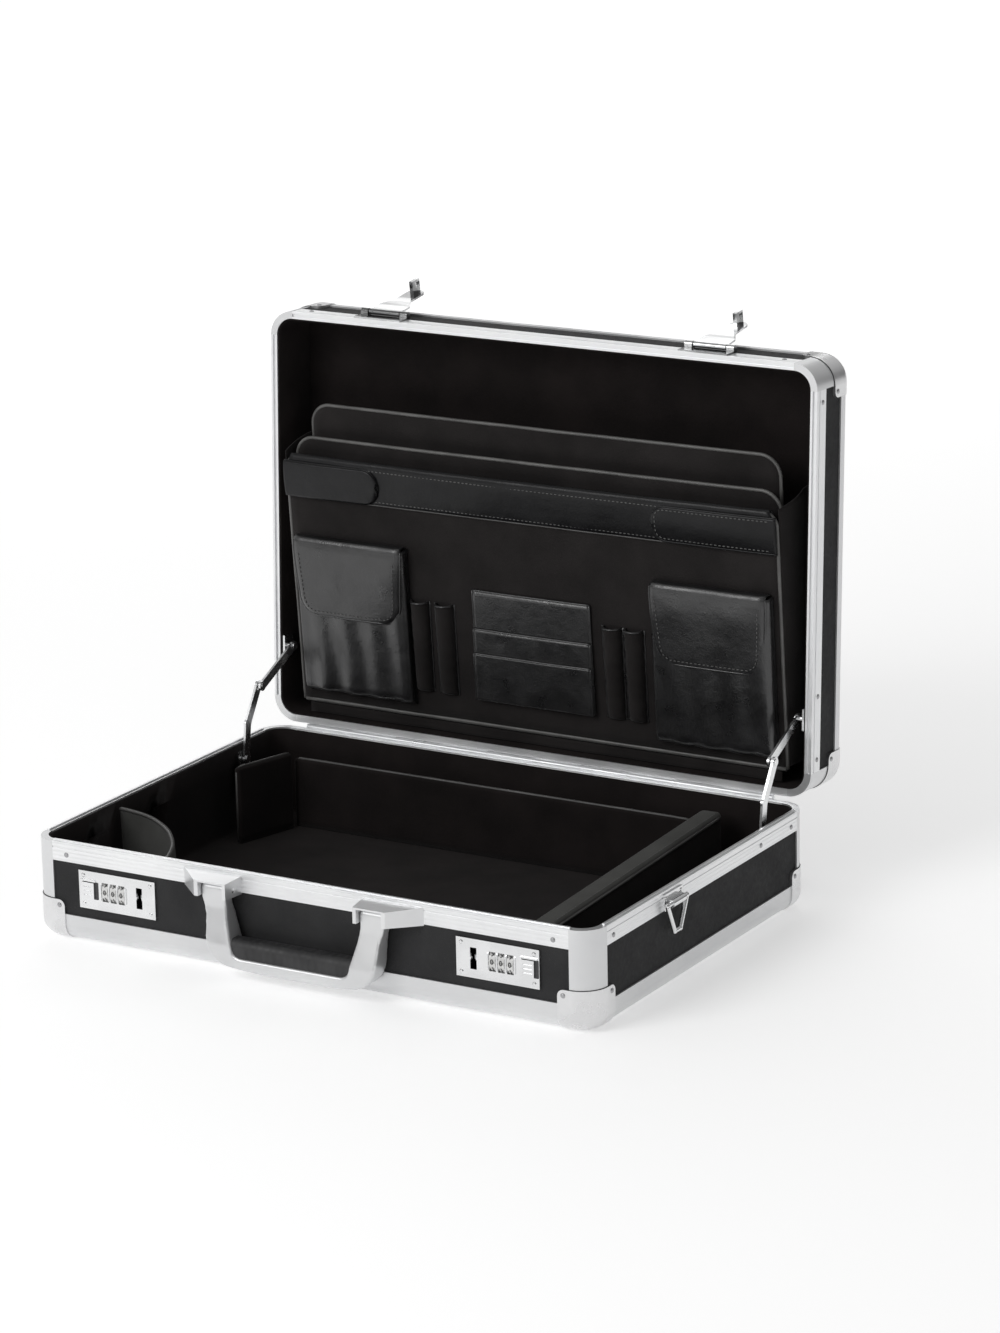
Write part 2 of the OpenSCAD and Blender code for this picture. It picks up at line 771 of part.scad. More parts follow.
module stay_bracket(p, inner_x, z0, z1) {
  wall = hw - face;
  translate([wall - 1.7, p[0] - 8, z0]) cube([1.7, 16, z1 - z0]);
  boss(inner_x - 1.2, p, wall - inner_x + 1.2, stay_pin_r);
  boss(inner_x - 1.2, p, 1, 3);
}

module stay_brackets_base() {
  color("#b9bbbf") both_sides() stay_bracket(stay_base, stay_lo_x, 52, 66);
}

module stay_brackets_lid() {
  color("#b9bbbf") open_lid() both_sides() stay_bracket(stay_lid, stay_up_x, 73.8, 86);
}

module stay_lower() {
  color("#d5d7da") {
    difference() {
      link(stay_lo_x, [stay_base, stay_knee, stay_elbow]);
      boss(stay_lo_x - 1, stay_base, link_t + 2, stay_pin_r + pin_gap);
    }
    boss(stay_lo_x - 1.3, stay_elbow, 1.3, 2.4);
    boss(stay_lo_x + link_t, stay_elbow, 0.8, 2.6);
  }
}

module stay_upper() {
  color("#d5d7da") {
    difference() {
      link(stay_up_x, [stay_elbow, stay_lid_open]);
      boss(stay_up_x - 1, stay_lid_open, link_t + 2, stay_pin_r + pin_gap);
    }
    boss(stay_up_x - 0.8, stay_elbow, 0.8, 2.6);
  }
}

module stay_lower_right() { stay_lower(); }
module stay_lower_left() { mirror([1, 0, 0]) stay_lower(); }
module stay_upper_right() { stay_upper(); }
module stay_upper_left() { mirror([1, 0, 0]) stay_upper(); }

// ---- lid ----

module lid_top_panel() {
  color("#191919")
    on_lid() linear_extrude(panel_t) round_rect(lid_strip_r, corner_r - lid_strip_r);
}

module lid_wall_panels() {
  color("#191919") on_lid() wall_panels(lid_h, lid_strip_r);
}

module lid_rims() {
  groove = tongue_w + 2 * tongue_gap;
  color("#e3e4e6")
    on_lid() difference() {
      four_walls() rim_profile(lid_h);
      for (a = [0, 90, 270]) rotate([0, 0, a])
        along((a == 0 ? case_w : case_d) - 2 * corner_r + 2, a == 0 ? hd : hw)
          translate([(skin - groove) / 2, lid_h - tongue_h - tongue_gap]) square([groove, 3]);
    }
}

module lid_edge_strips() {
  color("#e3e4e6") on_lid() four_walls() strip_profile(lid_strip, lid_strip_r, lid_strip);
}

module lid_corner_posts() {
  color("#e3e4e6") on_lid() four_corners() post_profile(lid_h, lid_strip_r);
}

module lid_corner_caps() {
  color("#f0f1f3") on_lid() caps(lid_strip, lid_strip_r, lid_cap_h);
}

module lid_rivets() {
  color("#cfd1d4") on_lid() rivets(lid_h, lid_cap_h);
}

module lid_lining() {
  color("#0f0f10") on_lid() lining(lid_h, lid_strip);
}

// ---- hasps, drawn shut ----

module hasp_plates() {
  color("#d9dbde")
    open_lid() for (x = [-hasp_x, hasp_x]) translate([x, 0, 0]) {
      translate([-20, -hd - 1.2, lid_z + 1.2]) cube([40, 1.2, hasp_z - lid_z + 1.2]);
      for (s = [-1, 1]) {
        translate([s * 17 - 3, -hasp_y, hasp_z]) rotate([0, 90, 0]) cylinder(h = 6, r = 2.4);
        translate([s * 17 - 3, -hasp_y, hasp_z - 2.4]) cube([6, hasp_y - hd - 1, 4.8]);
      }
      translate([-15, -hasp_y, hasp_z]) rotate([0, 90, 0]) cylinder(h = 30, r = hinge_pin_r);
    }
}

module hasp(x) {
  color("#e9eaec")
    open_lid() translate([x, -hasp_y, hasp_z]) rotate([-hasp_swing, 0, 0])
      difference() {
        union() {
          rotate([0, 90, 0]) translate([0, 0, -hasp_w / 2]) cylinder(h = hasp_w, r = knuckle_r);
          translate([0, hasp_t, 0]) rotate([90, 0, 0]) linear_extrude(hasp_t) {
            polygon([[-hasp_w / 2, 0], [-hasp_w / 2, -14], [-hasp_tip_w / 2, -26],
              [-hasp_tip_w / 2, -hasp_len + hasp_tip_w / 2], [hasp_tip_w / 2, -hasp_len + hasp_tip_w / 2],
              [hasp_tip_w / 2, -26], [hasp_w / 2, -14], [hasp_w / 2, 0]]);
            translate([0, -hasp_len + hasp_tip_w / 2]) circle(hasp_tip_w / 2);
          }
          // raised rib down the middle and the loop that enters the lock
          translate([-3, -0.9, -36]) cube([6, 1, 28]);
          difference() {
            translate([-1.5, hasp_t - 0.1, -49]) cube([3, 10, 10]);
            translate([-2, 5.4, -hasp_z + lock_z - 2.6]) cube([4, 4.2, 5.2]);
          }
        }
        rotate([0, 90, 0]) translate([0, 0, -hasp_w]) cylinder(h = 2 * hasp_w, r = hinge_pin_r + pin_gap);
      }
}

module hasp_left() { hasp(-hasp_x); }
module hasp_right() { hasp(hasp_x); }

// ---- lid organiser, drawn shut: smaller y is nearer the top of the open lid ----

// upright board with two rounded top corners, w deep in the lid
module board(half, rise, w, r) {
  translate([0, 0, lid_z + w]) linear_extrude(board_t) {
    translate([-half, -rise + r]) square([2 * half, rise - r]);
    translate([-half + r, -rise]) square([2 * half - 2 * r, r + 1]);
    for (s = [-1, 1]) translate([s * (half - r), -rise + r]) circle(r);
  }
}

module foot_piping(grow) {
  translate([-org_half - grow, 0, lid_z + 9])
    rotate([0, 90, 0]) cylinder(h = 2 * (org_half + grow), r = 2 + grow, $fn = 32);
}

module organiser_dividers() {
  color("#1b1b1c")
    on_organiser() {
      board(org_half - 2, 207, 20, 16);
      board(org_half - 9, 229, 34, 16);
      difference() {
        translate([-org_half + 9, -2, lid_z + 8 + board_t]) cube([2 * org_half - 18, 2, 26]);
        foot_piping(pin_gap);
      }
    }
}

module organiser_front() {
  color("#161617")
    on_organiser() {
      board(org_half, 195, 8, 10);
      foot_piping(0);
    }
}

module organiser_pouches() {
  color("#101011")
    on_organiser() for (s = [-1, 1]) translate([s * pouch_x - pouch_w / 2, 0, lid_z + 8 - pouch_d])
      difference() {
        translate([0, -133, 0]) cube([pouch_w, 124, pouch_d]);
        translate([1.4, -141, 1.4]) cube([pouch_w - 2.8, 130.5, pouch_d]);
      }
}

module organiser_slots() {
  color("#121213")
    on_organiser() {
      for (x = [110.2 - org_half, 131.5 - org_half, org_half - 139, org_half - 121]) intersection() {
        translate([x, -93, lid_z + 8]) rotate([-90, 0, 0]) difference() {
          cylinder(h = 72, r = 7.6);
          translate([0, 0, -1]) cylinder(h = 72, r = 6.6);
        }
        translate([x - 10, -101, lid_z - 5]) cube([20, 90, 13]);
      }
      for (k = [0, 1, 2]) difference() {
        translate([-slot_half, -23 - [84, 54, 35][k], lid_z + 6.4 - 1.6 * k])
          cube([2 * slot_half, [84, 54, 35][k], 1.6]);
        translate([1.5 - slot_half, -111, lid_z + 7.2 - 1.6 * k]) cube([2 * slot_half - 3, 86.5, 1.6]);
      }
    }
}

// bright leather band on the front board with a closing tab at each end
module organiser_tabs() {
  color("#202022")
    on_organiser() {
      translate([-org_half, -185, lid_z + 7]) cube([2 * org_half, 21, 1]);
      translate([10 - org_half, -195, lid_z + 7]) cube([2 * org_half - 20, 11, 1]);
      for (t = [[0, 100], [1, 81]]) mirror([t[0], 0, 0])
        translate([org_half - t[1], 0, lid_z + 4.6]) linear_extrude(2.4) {
          translate([10, -192]) square([t[1] - 10, 27]);
          translate([0, -182]) square([10, 7]);
          for (y = [-182, -175]) translate([10, y]) circle(10);
        }
    }
}

module pocket_flap(x, top) {
  color("#202022")
    on_organiser() {
      translate([x - 47, top, lid_z - 4.3]) cube([94, 1.8, 11.3]);
      translate([0, 0, lid_z - 4.3]) linear_extrude(1.8) {
        polygon([[x - 47, top], [x - 47, top + 20], [x - 42, top + 53], [x + 42, top + 53],
          [x + 47, top + 20], [x + 47, top]]);
        translate([x - 33, top + 50]) square([66, 12]);
        for (s = [-1, 1]) translate([x + s * 33, top + 53]) circle(9);
      }
    }
}

module pocket_flap_left() { pocket_flap(-pouch_x, -135.6); }
module pocket_flap_right() { pocket_flap(pouch_x, -135.6); }

// cloth side walls of the organiser and the seam strip that holds its foot to the lid
module organiser_gussets() {
  color("#0d0d0e")
    open_lid() {
      both_sides() translate([org_half + 0.4, org_foot - 199, lid_z + 12])
        cube([1.5, 199, lid_h - skin - lining_t - 11]);
      translate([3 - org_half, org_foot + 2.5, lid_z + 9])
        cube([2 * org_half - 6, hd - face - 2.8 - org_foot, 2]);
    }
}

base_floor_panel();
base_wall_panels();
base_rims();
base_edge_strips();
base_corner_posts();
base_corner_caps();
base_rivets();
base_lining();
divider_right();
divider_rear();
divider_left();
divider_strap();
handle_brackets();
handle_pins();
lock_plates();
lock_housings();
strap_brackets();
stay_brackets_base();
hinge_base_leaf();
hinge_pin();
handle_shell();
handle_grip();
strap_ring_left();
strap_ring_right();
dial_left_1();
dial_left_2();
dial_left_3();
dial_right_1();
dial_right_2();
dial_right_3();
lock_button_left();
lock_button_right();
lock_bolt_left();
lock_bolt_right();
stay_lower_left();
stay_lower_right();
stay_upper_left();
stay_upper_right();
lid_top_panel();
lid_wall_panels();
lid_rims();
lid_edge_strips();
lid_corner_posts();
lid_corner_caps();
lid_rivets();
lid_lining();
hinge_lid_leaf();
stay_brackets_lid();
hasp_plates();
hasp_left();
hasp_right();
organiser_dividers();
organiser_front();
organiser_pouches();
organiser_slots();
organiser_tabs();
pocket_flap_left();
pocket_flap_right();
organiser_gussets();
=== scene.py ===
import math
import bpy
import bmesh
from mathutils import Matrix, Vector, noise


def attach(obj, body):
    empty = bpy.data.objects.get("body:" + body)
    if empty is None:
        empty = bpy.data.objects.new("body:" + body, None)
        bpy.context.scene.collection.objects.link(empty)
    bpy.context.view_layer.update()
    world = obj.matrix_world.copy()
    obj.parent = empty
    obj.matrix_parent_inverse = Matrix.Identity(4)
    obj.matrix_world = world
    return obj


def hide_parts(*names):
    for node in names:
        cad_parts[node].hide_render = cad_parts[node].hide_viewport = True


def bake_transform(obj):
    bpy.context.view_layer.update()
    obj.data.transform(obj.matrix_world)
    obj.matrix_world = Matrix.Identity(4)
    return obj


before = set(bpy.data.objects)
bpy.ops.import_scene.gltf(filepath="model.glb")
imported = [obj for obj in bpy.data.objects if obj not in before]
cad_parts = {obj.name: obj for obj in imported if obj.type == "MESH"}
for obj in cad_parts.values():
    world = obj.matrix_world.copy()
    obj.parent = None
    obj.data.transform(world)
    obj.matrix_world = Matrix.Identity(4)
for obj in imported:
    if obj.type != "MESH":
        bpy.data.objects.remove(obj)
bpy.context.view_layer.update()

case = {  # metres and degrees, as in the solids
    "lidFace": 0.0723, "hingeY": 0.1615, "hingeZ": 0.07215, "openAngle": 92.3,
    "leanY": 0.144, "leanZ": 0.0823, "lean": 7.0,
}


def turnAbout(y, z, degrees):
    spot = Vector((0, y, z))
    turn = Matrix.Rotation(math.radians(degrees), 4, "X")
    return Matrix.Translation(spot) @ turn @ Matrix.Translation(-spot)


openLid = turnAbout(case["hingeY"], case["hingeZ"], -case["openAngle"])
leanOut = openLid @ turnAbout(case["leanY"], case["leanZ"], case["lean"])


photoView = {  # fitted to measured corners of the case in the photo
    "sensor": 36, "lens": 169.986, "far": 20, "spot": (1.6956, -2.7435, 1.1086),
    "right": (0.8626962, 0.50534786, -0.01946312), "up": (-0.12294553, 0.2469047, 0.96120886),
    "back": (0.49055038, -0.82683832, 0.275134),
}


def makeCamera():
    data = bpy.data.cameras.new("photoCamera")
    data.sensor_fit = "HORIZONTAL"
    data.sensor_width = photoView["sensor"]
    data.lens = photoView["lens"]
    data.clip_end = photoView["far"]
    camera = bpy.data.objects.new("photoCamera", data)
    axes = Matrix([photoView[axis] for axis in ("right", "up", "back")])
    camera.matrix_world = Matrix.Translation(photoView["spot"]) @ axes.transposed().to_4x4()
    bpy.context.scene.collection.objects.link(camera)
    bpy.context.scene.camera = camera


makeCamera()


def scaled(color, share):
    return tuple(c * share for c in color)


def shaderOf(mat):
    return mat.node_tree.nodes["Principled BSDF"]


def setSockets(node, sockets):
    for socket, value in sockets.items():
        node.inputs[socket.replace("_", " ")].default_value = value


def addNode(mat, kind, **sockets):
    node = mat.node_tree.nodes.new("ShaderNode" + kind)
    setSockets(node, sockets)
    return node


def startMaterial(name, color, roughness, metallic=0.0, **sockets):
    mat = bpy.data.materials.new(name)
    mat.use_nodes = True
    mat.diffuse_color = (*color, 1)
    sockets = {"Base_Color": (*color, 1), "Roughness": roughness, "Metallic": metallic, **sockets}
    setSockets(shaderOf(mat), sockets)
    return mat


def objectCoords(mat, turnX=0.0, stretch=(1, 1, 1)):
    coords = addNode(mat, "TexCoord")
    mapping = addNode(mat, "Mapping", Rotation=(math.radians(turnX), 0, 0), Scale=stretch)
    mat.node_tree.links.new(coords.outputs["Object"], mapping.inputs["Vector"])
    return mapping.outputs["Vector"]


def noiseOn(mat, vector, scale, detail=3.0, rough=0.5):
    tex = addNode(mat, "TexNoise", Scale=scale, Detail=detail, Roughness=rough)
    mat.node_tree.links.new(vector, tex.inputs["Vector"])
    return tex.outputs["Fac"]


def cellsOn(mat, vector, scale):
    tex = addNode(mat, "TexVoronoi", Scale=scale)
    mat.node_tree.links.new(vector, tex.inputs["Vector"])
    return tex.outputs["Distance"]


def waveOn(mat, vector, scale, direction="Z"):
    tex = addNode(mat, "TexWave", Scale=scale)
    tex.bands_direction = direction
    mat.node_tree.links.new(vector, tex.inputs["Vector"])
    return tex.outputs["Fac"]


def bumpFrom(mat, height, strength, distance, under=None):
    bump = addNode(mat, "Bump", Strength=strength, Distance=distance)
    links = mat.node_tree.links
    links.new(height, bump.inputs["Height"])
    if under:
        links.new(under, bump.inputs["Normal"])
    links.new(bump.outputs["Normal"], shaderOf(mat).inputs["Normal"])
    return bump.outputs["Normal"]


def rampColor(mat, factor, dark, light, low=0.35, high=0.65):
    ramp = addNode(mat, "ValToRGB")
    first, last = ramp.color_ramp.elements
    first.position, last.position = low, high
    first.color, last.color = (*dark, 1), (*light, 1)
    mat.node_tree.links.new(factor, ramp.inputs["Fac"])
    mat.node_tree.links.new(ramp.outputs["Color"], shaderOf(mat).inputs["Base Color"])


def rangeRoughness(mat, factor, low, high):
    span = addNode(mat, "MapRange", From_Min=0.3, From_Max=0.7, To_Min=low, To_Max=high)
    mat.node_tree.links.new(factor, span.inputs["Value"])
    mat.node_tree.links.new(span.outputs["Result"], shaderOf(mat).inputs["Roughness"])


aluminium = {
    "dark": (0.83, 0.835, 0.845), "middle": (0.86, 0.865, 0.875), "light": (0.90, 0.905, 0.91),
    "ridges": 105, "ridgeDepth": 0.0004,
}


# shade below 1 darkens every tone of a copy: painted shade
def satinAluminium(name, turnX=0.0, ridges=True, shade=1.0):
    mat = startMaterial(name, scaled(aluminium["middle"], shade), 0.34, 0.72)
    vector = objectCoords(mat, turnX)
    toneNoise = noiseOn(mat, vector, 22, 4)
    rampColor(mat, toneNoise, scaled(aluminium["dark"], shade), scaled(aluminium["light"], shade))
    rangeRoughness(mat, toneNoise, 0.30, 0.42)
    normal = bumpFrom(mat, noiseOn(mat, vector, 900, 2), 0.12, 0.0001)
    if ridges:
        ridge = waveOn(mat, vector, aluminium["ridges"])
        bumpFrom(mat, ridge, 0.5, aluminium["ridgeDepth"], normal)
    return mat


def brightPlate(name, color, roughness, patches=45, dark=0.93, stretch=(1, 1, 1)):
    mat = startMaterial(name, color, roughness, 1.0)
    vector = objectCoords(mat, 0.0, stretch)
    # toneNoise runs the colour between dark × colour and colour: slight random tone, and painted
    # reflection where dark is low, as on the hasps
    toneNoise = noiseOn(mat, vector, patches, 5)
    rampColor(mat, toneNoise, scaled(color, dark), color, 0.42, 0.58)
    rangeRoughness(mat, toneNoise, roughness * 0.8, roughness * 1.6)
    bumpFrom(mat, noiseOn(mat, vector, 130, 2), 0.06, 0.0004)
    return mat


def grainedPanel(name):
    mat = startMaterial(name, (0.033, 0.033, 0.034), 0.62, 0.0, Specular_IOR_Level=0.08)
    vector = objectCoords(mat)
    blotches = noiseOn(mat, vector, 30, 3)
    rampColor(mat, blotches, (0.029, 0.029, 0.030), (0.037, 0.037, 0.038))
    rangeRoughness(mat, noiseOn(mat, vector, 300, 2), 0.56, 0.70)
    bumpFrom(mat, cellsOn(mat, vector, 1100), 0.4, 0.0004)
    return mat


def nappedCloth(name, color, lift):
    mat = startMaterial(name, color, 0.92, 0.0, Sheen_Weight=0.06, Sheen_Roughness=0.5,
                        Specular_IOR_Level=0.12)
    vector = objectCoords(mat)
    rampColor(mat, noiseOn(mat, vector, 26, 4), color, scaled(color, lift))
    normal = bumpFrom(mat, noiseOn(mat, vector, 1500, 2, 0.7), 0.5, 0.0004)
    bumpFrom(mat, noiseOn(mat, vector, 18, 2), 0.25, 0.006, normal)
    return mat


def softLeather(name, color, roughness, gloss=0.5):
    mat = startMaterial(name, color, roughness, 0.0, Coat_Weight=0.15, Coat_Roughness=0.25,
                        Specular_IOR_Level=gloss)
    vector = objectCoords(mat)
    rampColor(mat, noiseOn(mat, vector, 35, 4), color, scaled(color, 1.8))
    rangeRoughness(mat, noiseOn(mat, vector, 60, 3), roughness * 0.85, roughness * 1.35)
    normal = bumpFrom(mat, cellsOn(mat, vector, 900), 0.25, 0.0003)
    bumpFrom(mat, noiseOn(mat, vector, 55, 3, 0.6), 0.30, 0.0022, normal)
    return mat


def gripRubber(name):
    mat = startMaterial(name, (0.02, 0.02, 0.021), 0.6)
    vector = objectCoords(mat)
    rampColor(mat, noiseOn(mat, vector, 60, 3), (0.016, 0.016, 0.017), (0.03, 0.03, 0.031))
    rangeRoughness(mat, noiseOn(mat, vector, 90, 2), 0.5, 0.68)
    normal = bumpFrom(mat, noiseOn(mat, vector, 1800, 2), 0.3, 0.0002)
    bumpFrom(mat, waveOn(mat, vector, 55, "X"), 0.3, 0.0008, normal)
    return mat


def mouldedPlastic(name, color, roughness):
    mat = startMaterial(name, color, roughness)
    vector = objectCoords(mat)
    rampColor(mat, noiseOn(mat, vector, 120, 3), scaled(color, 0.88), color)
    rangeRoughness(mat, noiseOn(mat, vector, 200, 2), roughness * 0.85, roughness * 1.25)
    bumpFrom(mat, noiseOn(mat, vector, 1400, 2), 0.15, 0.0001)
    return mat


aluminiumBase = satinAluminium("aluminiumBase")
aluminiumLid = satinAluminium("aluminiumLid", turnX=case["openAngle"])  # ridges follow the open lid
# darker copies of the satin aluminium for the strips, posts, handle and brackets: painted shade
aluminiumPlainPaintedShade = satinAluminium("aluminiumPlainPaintedShade", ridges=False, shade=0.82)
handleSilverPaintedShade = satinAluminium("handleSilverPaintedShade", ridges=False, shade=0.80)
bracketSilverPaintedShade = satinAluminium("bracketSilverPaintedShade", ridges=False, shade=0.86)
capChrome = brightPlate("capChrome", (0.76, 0.76, 0.765), 0.24)
hardwareChrome = brightPlate("hardwareChrome", (0.80, 0.805, 0.81), 0.16)
# dark streaks stretched along x, down to 0.36 of the colour: painted reflection on the hasps
haspChrome = brightPlate("haspChrome", (0.68, 0.685, 0.69), 0.14, 60, 0.36, (0.1, 1, 1))
stayNickel = brightPlate("stayNickel", (0.82, 0.825, 0.83), 0.22)
rivetSteel = brightPlate("rivetSteel", (0.42, 0.42, 0.43), 0.3)
hingeSteel = brightPlate("hingeSteel", (0.66, 0.67, 0.68), 0.34)
panelBlack = grainedPanel("panelBlack")
liningCloth = nappedCloth("liningCloth", (0.0075, 0.0058, 0.0056), 1.7)
boardCloth = nappedCloth("boardCloth", (0.0150, 0.0134, 0.0132), 1.5)
greyCloth = nappedCloth("greyCloth", (0.058, 0.058, 0.055), 1.3)
stitchThread = nappedCloth("stitchThread", (0.12, 0.12, 0.118), 1.3)
pouchLeather = softLeather("pouchLeather", (0.009, 0.009, 0.0095), 0.3, 0.8)
bandLeather = softLeather("bandLeather", (0.0045, 0.0045, 0.005), 0.34, 0.2)
boardPiping = softLeather("boardPiping", (0.062, 0.061, 0.059), 0.4)
pipingVinyl = softLeather("pipingVinyl", (0.040, 0.039, 0.038), 0.4)
rubberGrip = gripRubber("rubberGrip")
digitInk = mouldedPlastic("digitInk", (0.03, 0.03, 0.032), 0.5)
seamShadow = mouldedPlastic("seamShadow", (0.05, 0.05, 0.052), 0.6)
wheelPlastic = mouldedPlastic("wheelPlastic", (0.72, 0.72, 0.71), 0.3)
coverPlastic = mouldedPlastic("coverPlastic", (0.018, 0.018, 0.019), 0.55)


def dress(names, mat):
    for name in names:
        node = bpy.data.objects[name]
        node.data.materials.clear()
        node.data.materials.append(mat)


dress(["base_rims"], aluminiumBase)
dress(["lid_rims"], aluminiumLid)
dress(["base_edge_strips", "base_corner_posts",
       "lid_edge_strips", "lid_corner_posts"], aluminiumPlainPaintedShade)
dress(["handle_brackets"], bracketSilverPaintedShade)
dress(["base_corner_caps", "lid_corner_caps"], capChrome)
dress(["base_rivets", "lid_rivets"], rivetSteel)
dress(["hasp_plates", "hasp_left", "hasp_right"], haspChrome)
dress(["lock_plates", "lock_button_left", "lock_button_right",
       "strap_brackets", "strap_ring_left", "strap_ring_right", "handle_pins"], hardwareChrome)
dress(["stay_brackets_base", "stay_brackets_lid", "stay_lower_left", "stay_lower_right",
       "stay_upper_left", "stay_upper_right"], stayNickel)
dress(["hinge_base_leaf", "hinge_lid_leaf", "hinge_pin",
       "lock_bolt_left", "lock_bolt_right"], hingeSteel)
dress(["base_floor_panel", "base_wall_panels", "lid_top_panel", "lid_wall_panels"], panelBlack)
dress(["lock_housings"], coverPlastic)
dress(["handle_grip"], rubberGrip)
dress([f"dial_{side}_{n}" for side in ("left", "right") for n in (1, 2, 3)], wheelPlastic)
print("materials on the solids")


def finishPiece(name, bm, mats, body, place=None, smooth=True, recalc=True):
    bmesh.ops.remove_doubles(bm, verts=bm.verts, dist=1e-6)
    if recalc:
        bmesh.ops.recalc_face_normals(bm, faces=bm.faces)
    if place:
        bmesh.ops.transform(bm, matrix=place, verts=bm.verts)
    mesh = bpy.data.meshes.new(name)
    bm.to_mesh(mesh)
    bm.free()
    for mat in mats:
        mesh.materials.append(mat)
    for face in mesh.polygons:
        face.use_smooth = smooth
    piece = bpy.data.objects.new(name, mesh)
    bpy.context.scene.collection.objects.link(piece)
    if body:
        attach(piece, body)
    return piece


def addModifier(piece, kind, **values):
    mod = piece.modifiers.new(kind.title(), kind)
    for key, value in values.items():
        setattr(mod, key, value)


def addBox(bm, size, centre):
    made = bmesh.ops.create_cube(bm, size=1)["verts"]
    place = Matrix.Translation(centre) @ Matrix.Diagonal((*size, 1))
    bmesh.ops.transform(bm, matrix=place, verts=made)
    return made


def roundEdges(bm, edges, radius, segments):
    bmesh.ops.bevel(bm, geom=edges, offset=radius, segments=segments, affect="EDGES",
                    profile=0.5, material=-1)


def cutAt(bm, spot, normal):
    everything = bm.verts[:] + bm.edges[:] + bm.faces[:]
    bmesh.ops.bisect_plane(bm, geom=everything, plane_co=spot, plane_no=normal)


def reach(edge, axis):  # how far an edge runs along an axis
    return abs(edge.verts[0].co[axis] - edge.verts[1].co[axis])


def gridSheet(cols, rows, shape, thickness):  # shape(u, v) places each point, u and v from 0 to 1
    bm = bmesh.new()
    bmesh.ops.create_grid(bm, x_segments=cols, y_segments=rows, size=0.5)
    for vert in bm.verts:
        vert.co = shape(vert.co.x + 0.5, vert.co.y + 0.5)
    bmesh.ops.recalc_face_normals(bm, faces=bm.faces)
    bmesh.ops.solidify(bm, geom=bm.faces[:], thickness=thickness)
    return bm


def smoothStep(t):
    t = min(1.0, max(0.0, t))
    return t * t * (3 - 2 * t)


def spansOf(points):
    return [(after - before).length for before, after in zip(points, points[1:])]


def alongPath(points, t):  # the point at share t of a polyline's length
    spans = spansOf(points)
    left = t * sum(spans)
    for i, span in enumerate(spans):
        if left <= span or i == len(spans) - 1:
            return points[i].lerp(points[i + 1], min(1.0, left / span))
        left -= span


def bakedMesh(data):  # the mesh of a curve or text, which is removed
    holder = bpy.data.objects.new("holder", data)
    mesh = bpy.data.meshes.new_from_object(holder)
    bpy.data.objects.remove(holder)
    bpy.data.curves.remove(data)
    return mesh


def tubeMesh(points, radius):  # a round tube along points
    curve = bpy.data.curves.new("sweep", "CURVE")
    curve.dimensions = "3D"
    curve.bevel_depth = radius
    curve.bevel_resolution = 2
    curve.use_fill_caps = True
    spline = curve.splines.new("POLY")
    spline.points.add(len(points) - 1)
    for spot, point in zip(spline.points, points):
        spot.co = (*point, 1)
    bm = bmesh.new()
    mesh = bakedMesh(curve)
    bm.from_mesh(mesh)
    bpy.data.meshes.remove(mesh)
    return bm


def paintFrom(bm, first, matIndex):
    bm.faces.ensure_lookup_table()
    for i in range(first, len(bm.faces)):
        bm.faces[i].material_index = matIndex


def mergeInto(target, other, matIndex=None):
    mesh = bpy.data.meshes.new("part")
    other.to_mesh(mesh)
    other.free()
    before = len(target.faces)
    target.from_mesh(mesh)
    if matIndex is not None:
        paintFrom(target, before, matIndex)
    bpy.data.meshes.remove(mesh)


stitch = {"pitch": 0.0034, "length": 0.0025, "radius": 0.00042}


def stitchRow(target, points, matIndex=1):  # short raised threads along a line of points
    size = Matrix.Diagonal((stitch["length"] / 2, stitch["radius"], stitch["radius"], 1))
    count = int(sum(spansOf(points)) / stitch["pitch"])
    for i in range(count):
        here = alongPath(points, (i + 0.5) / count)
        ahead = alongPath(points, min(1.0, (i + 0.55) / count))
        run = (ahead - here).normalized()
        turn = Vector((1, 0, 0)).rotation_difference(run).to_matrix().to_4x4()
        before = len(target.faces)
        made = bmesh.ops.create_icosphere(target, subdivisions=1, radius=1.0)["verts"]
        bmesh.ops.transform(target, matrix=Matrix.Translation(here) @ turn @ size, verts=made)
        paintFrom(target, before, matIndex)


lining = {
    "halfX": 0.2245, "halfY": 0.1535, "floor": 0.0043, "baseTop": 0.0709, "lidDepth": 0.0489,
    "lidTop": 0.1223, "cornerRadius": 0.0128, "floorRadius": 0.0035, "cloth": 0.0013,
    "softness": 0.0006, "lockX": 0.156, "lockHalf": 0.0309, "lockFoot": 0.0266, "lockHead": 0.0534,
}


def lockWindow(bm, side):  # cut out round the lock housing in the front wall
    left, right = (side * lining["lockX"] + end * lining["lockHalf"] for end in (-1, 1))
    low, high = lining["lockFoot"], lining["lockHead"]
    for x in (left, right):
        cutAt(bm, (x, 0, 0), (1, 0, 0))
    for z in (low, high):
        cutAt(bm, (0, 0, z), (0, 0, 1))
    inside = []
    for face in bm.faces:
        spot = face.calc_center_median()
        if spot.y < 0.002 - lining["halfY"] and left < spot.x < right and low < spot.z < high:
            inside.append(face)
    bmesh.ops.delete(bm, geom=inside, context="FACES")


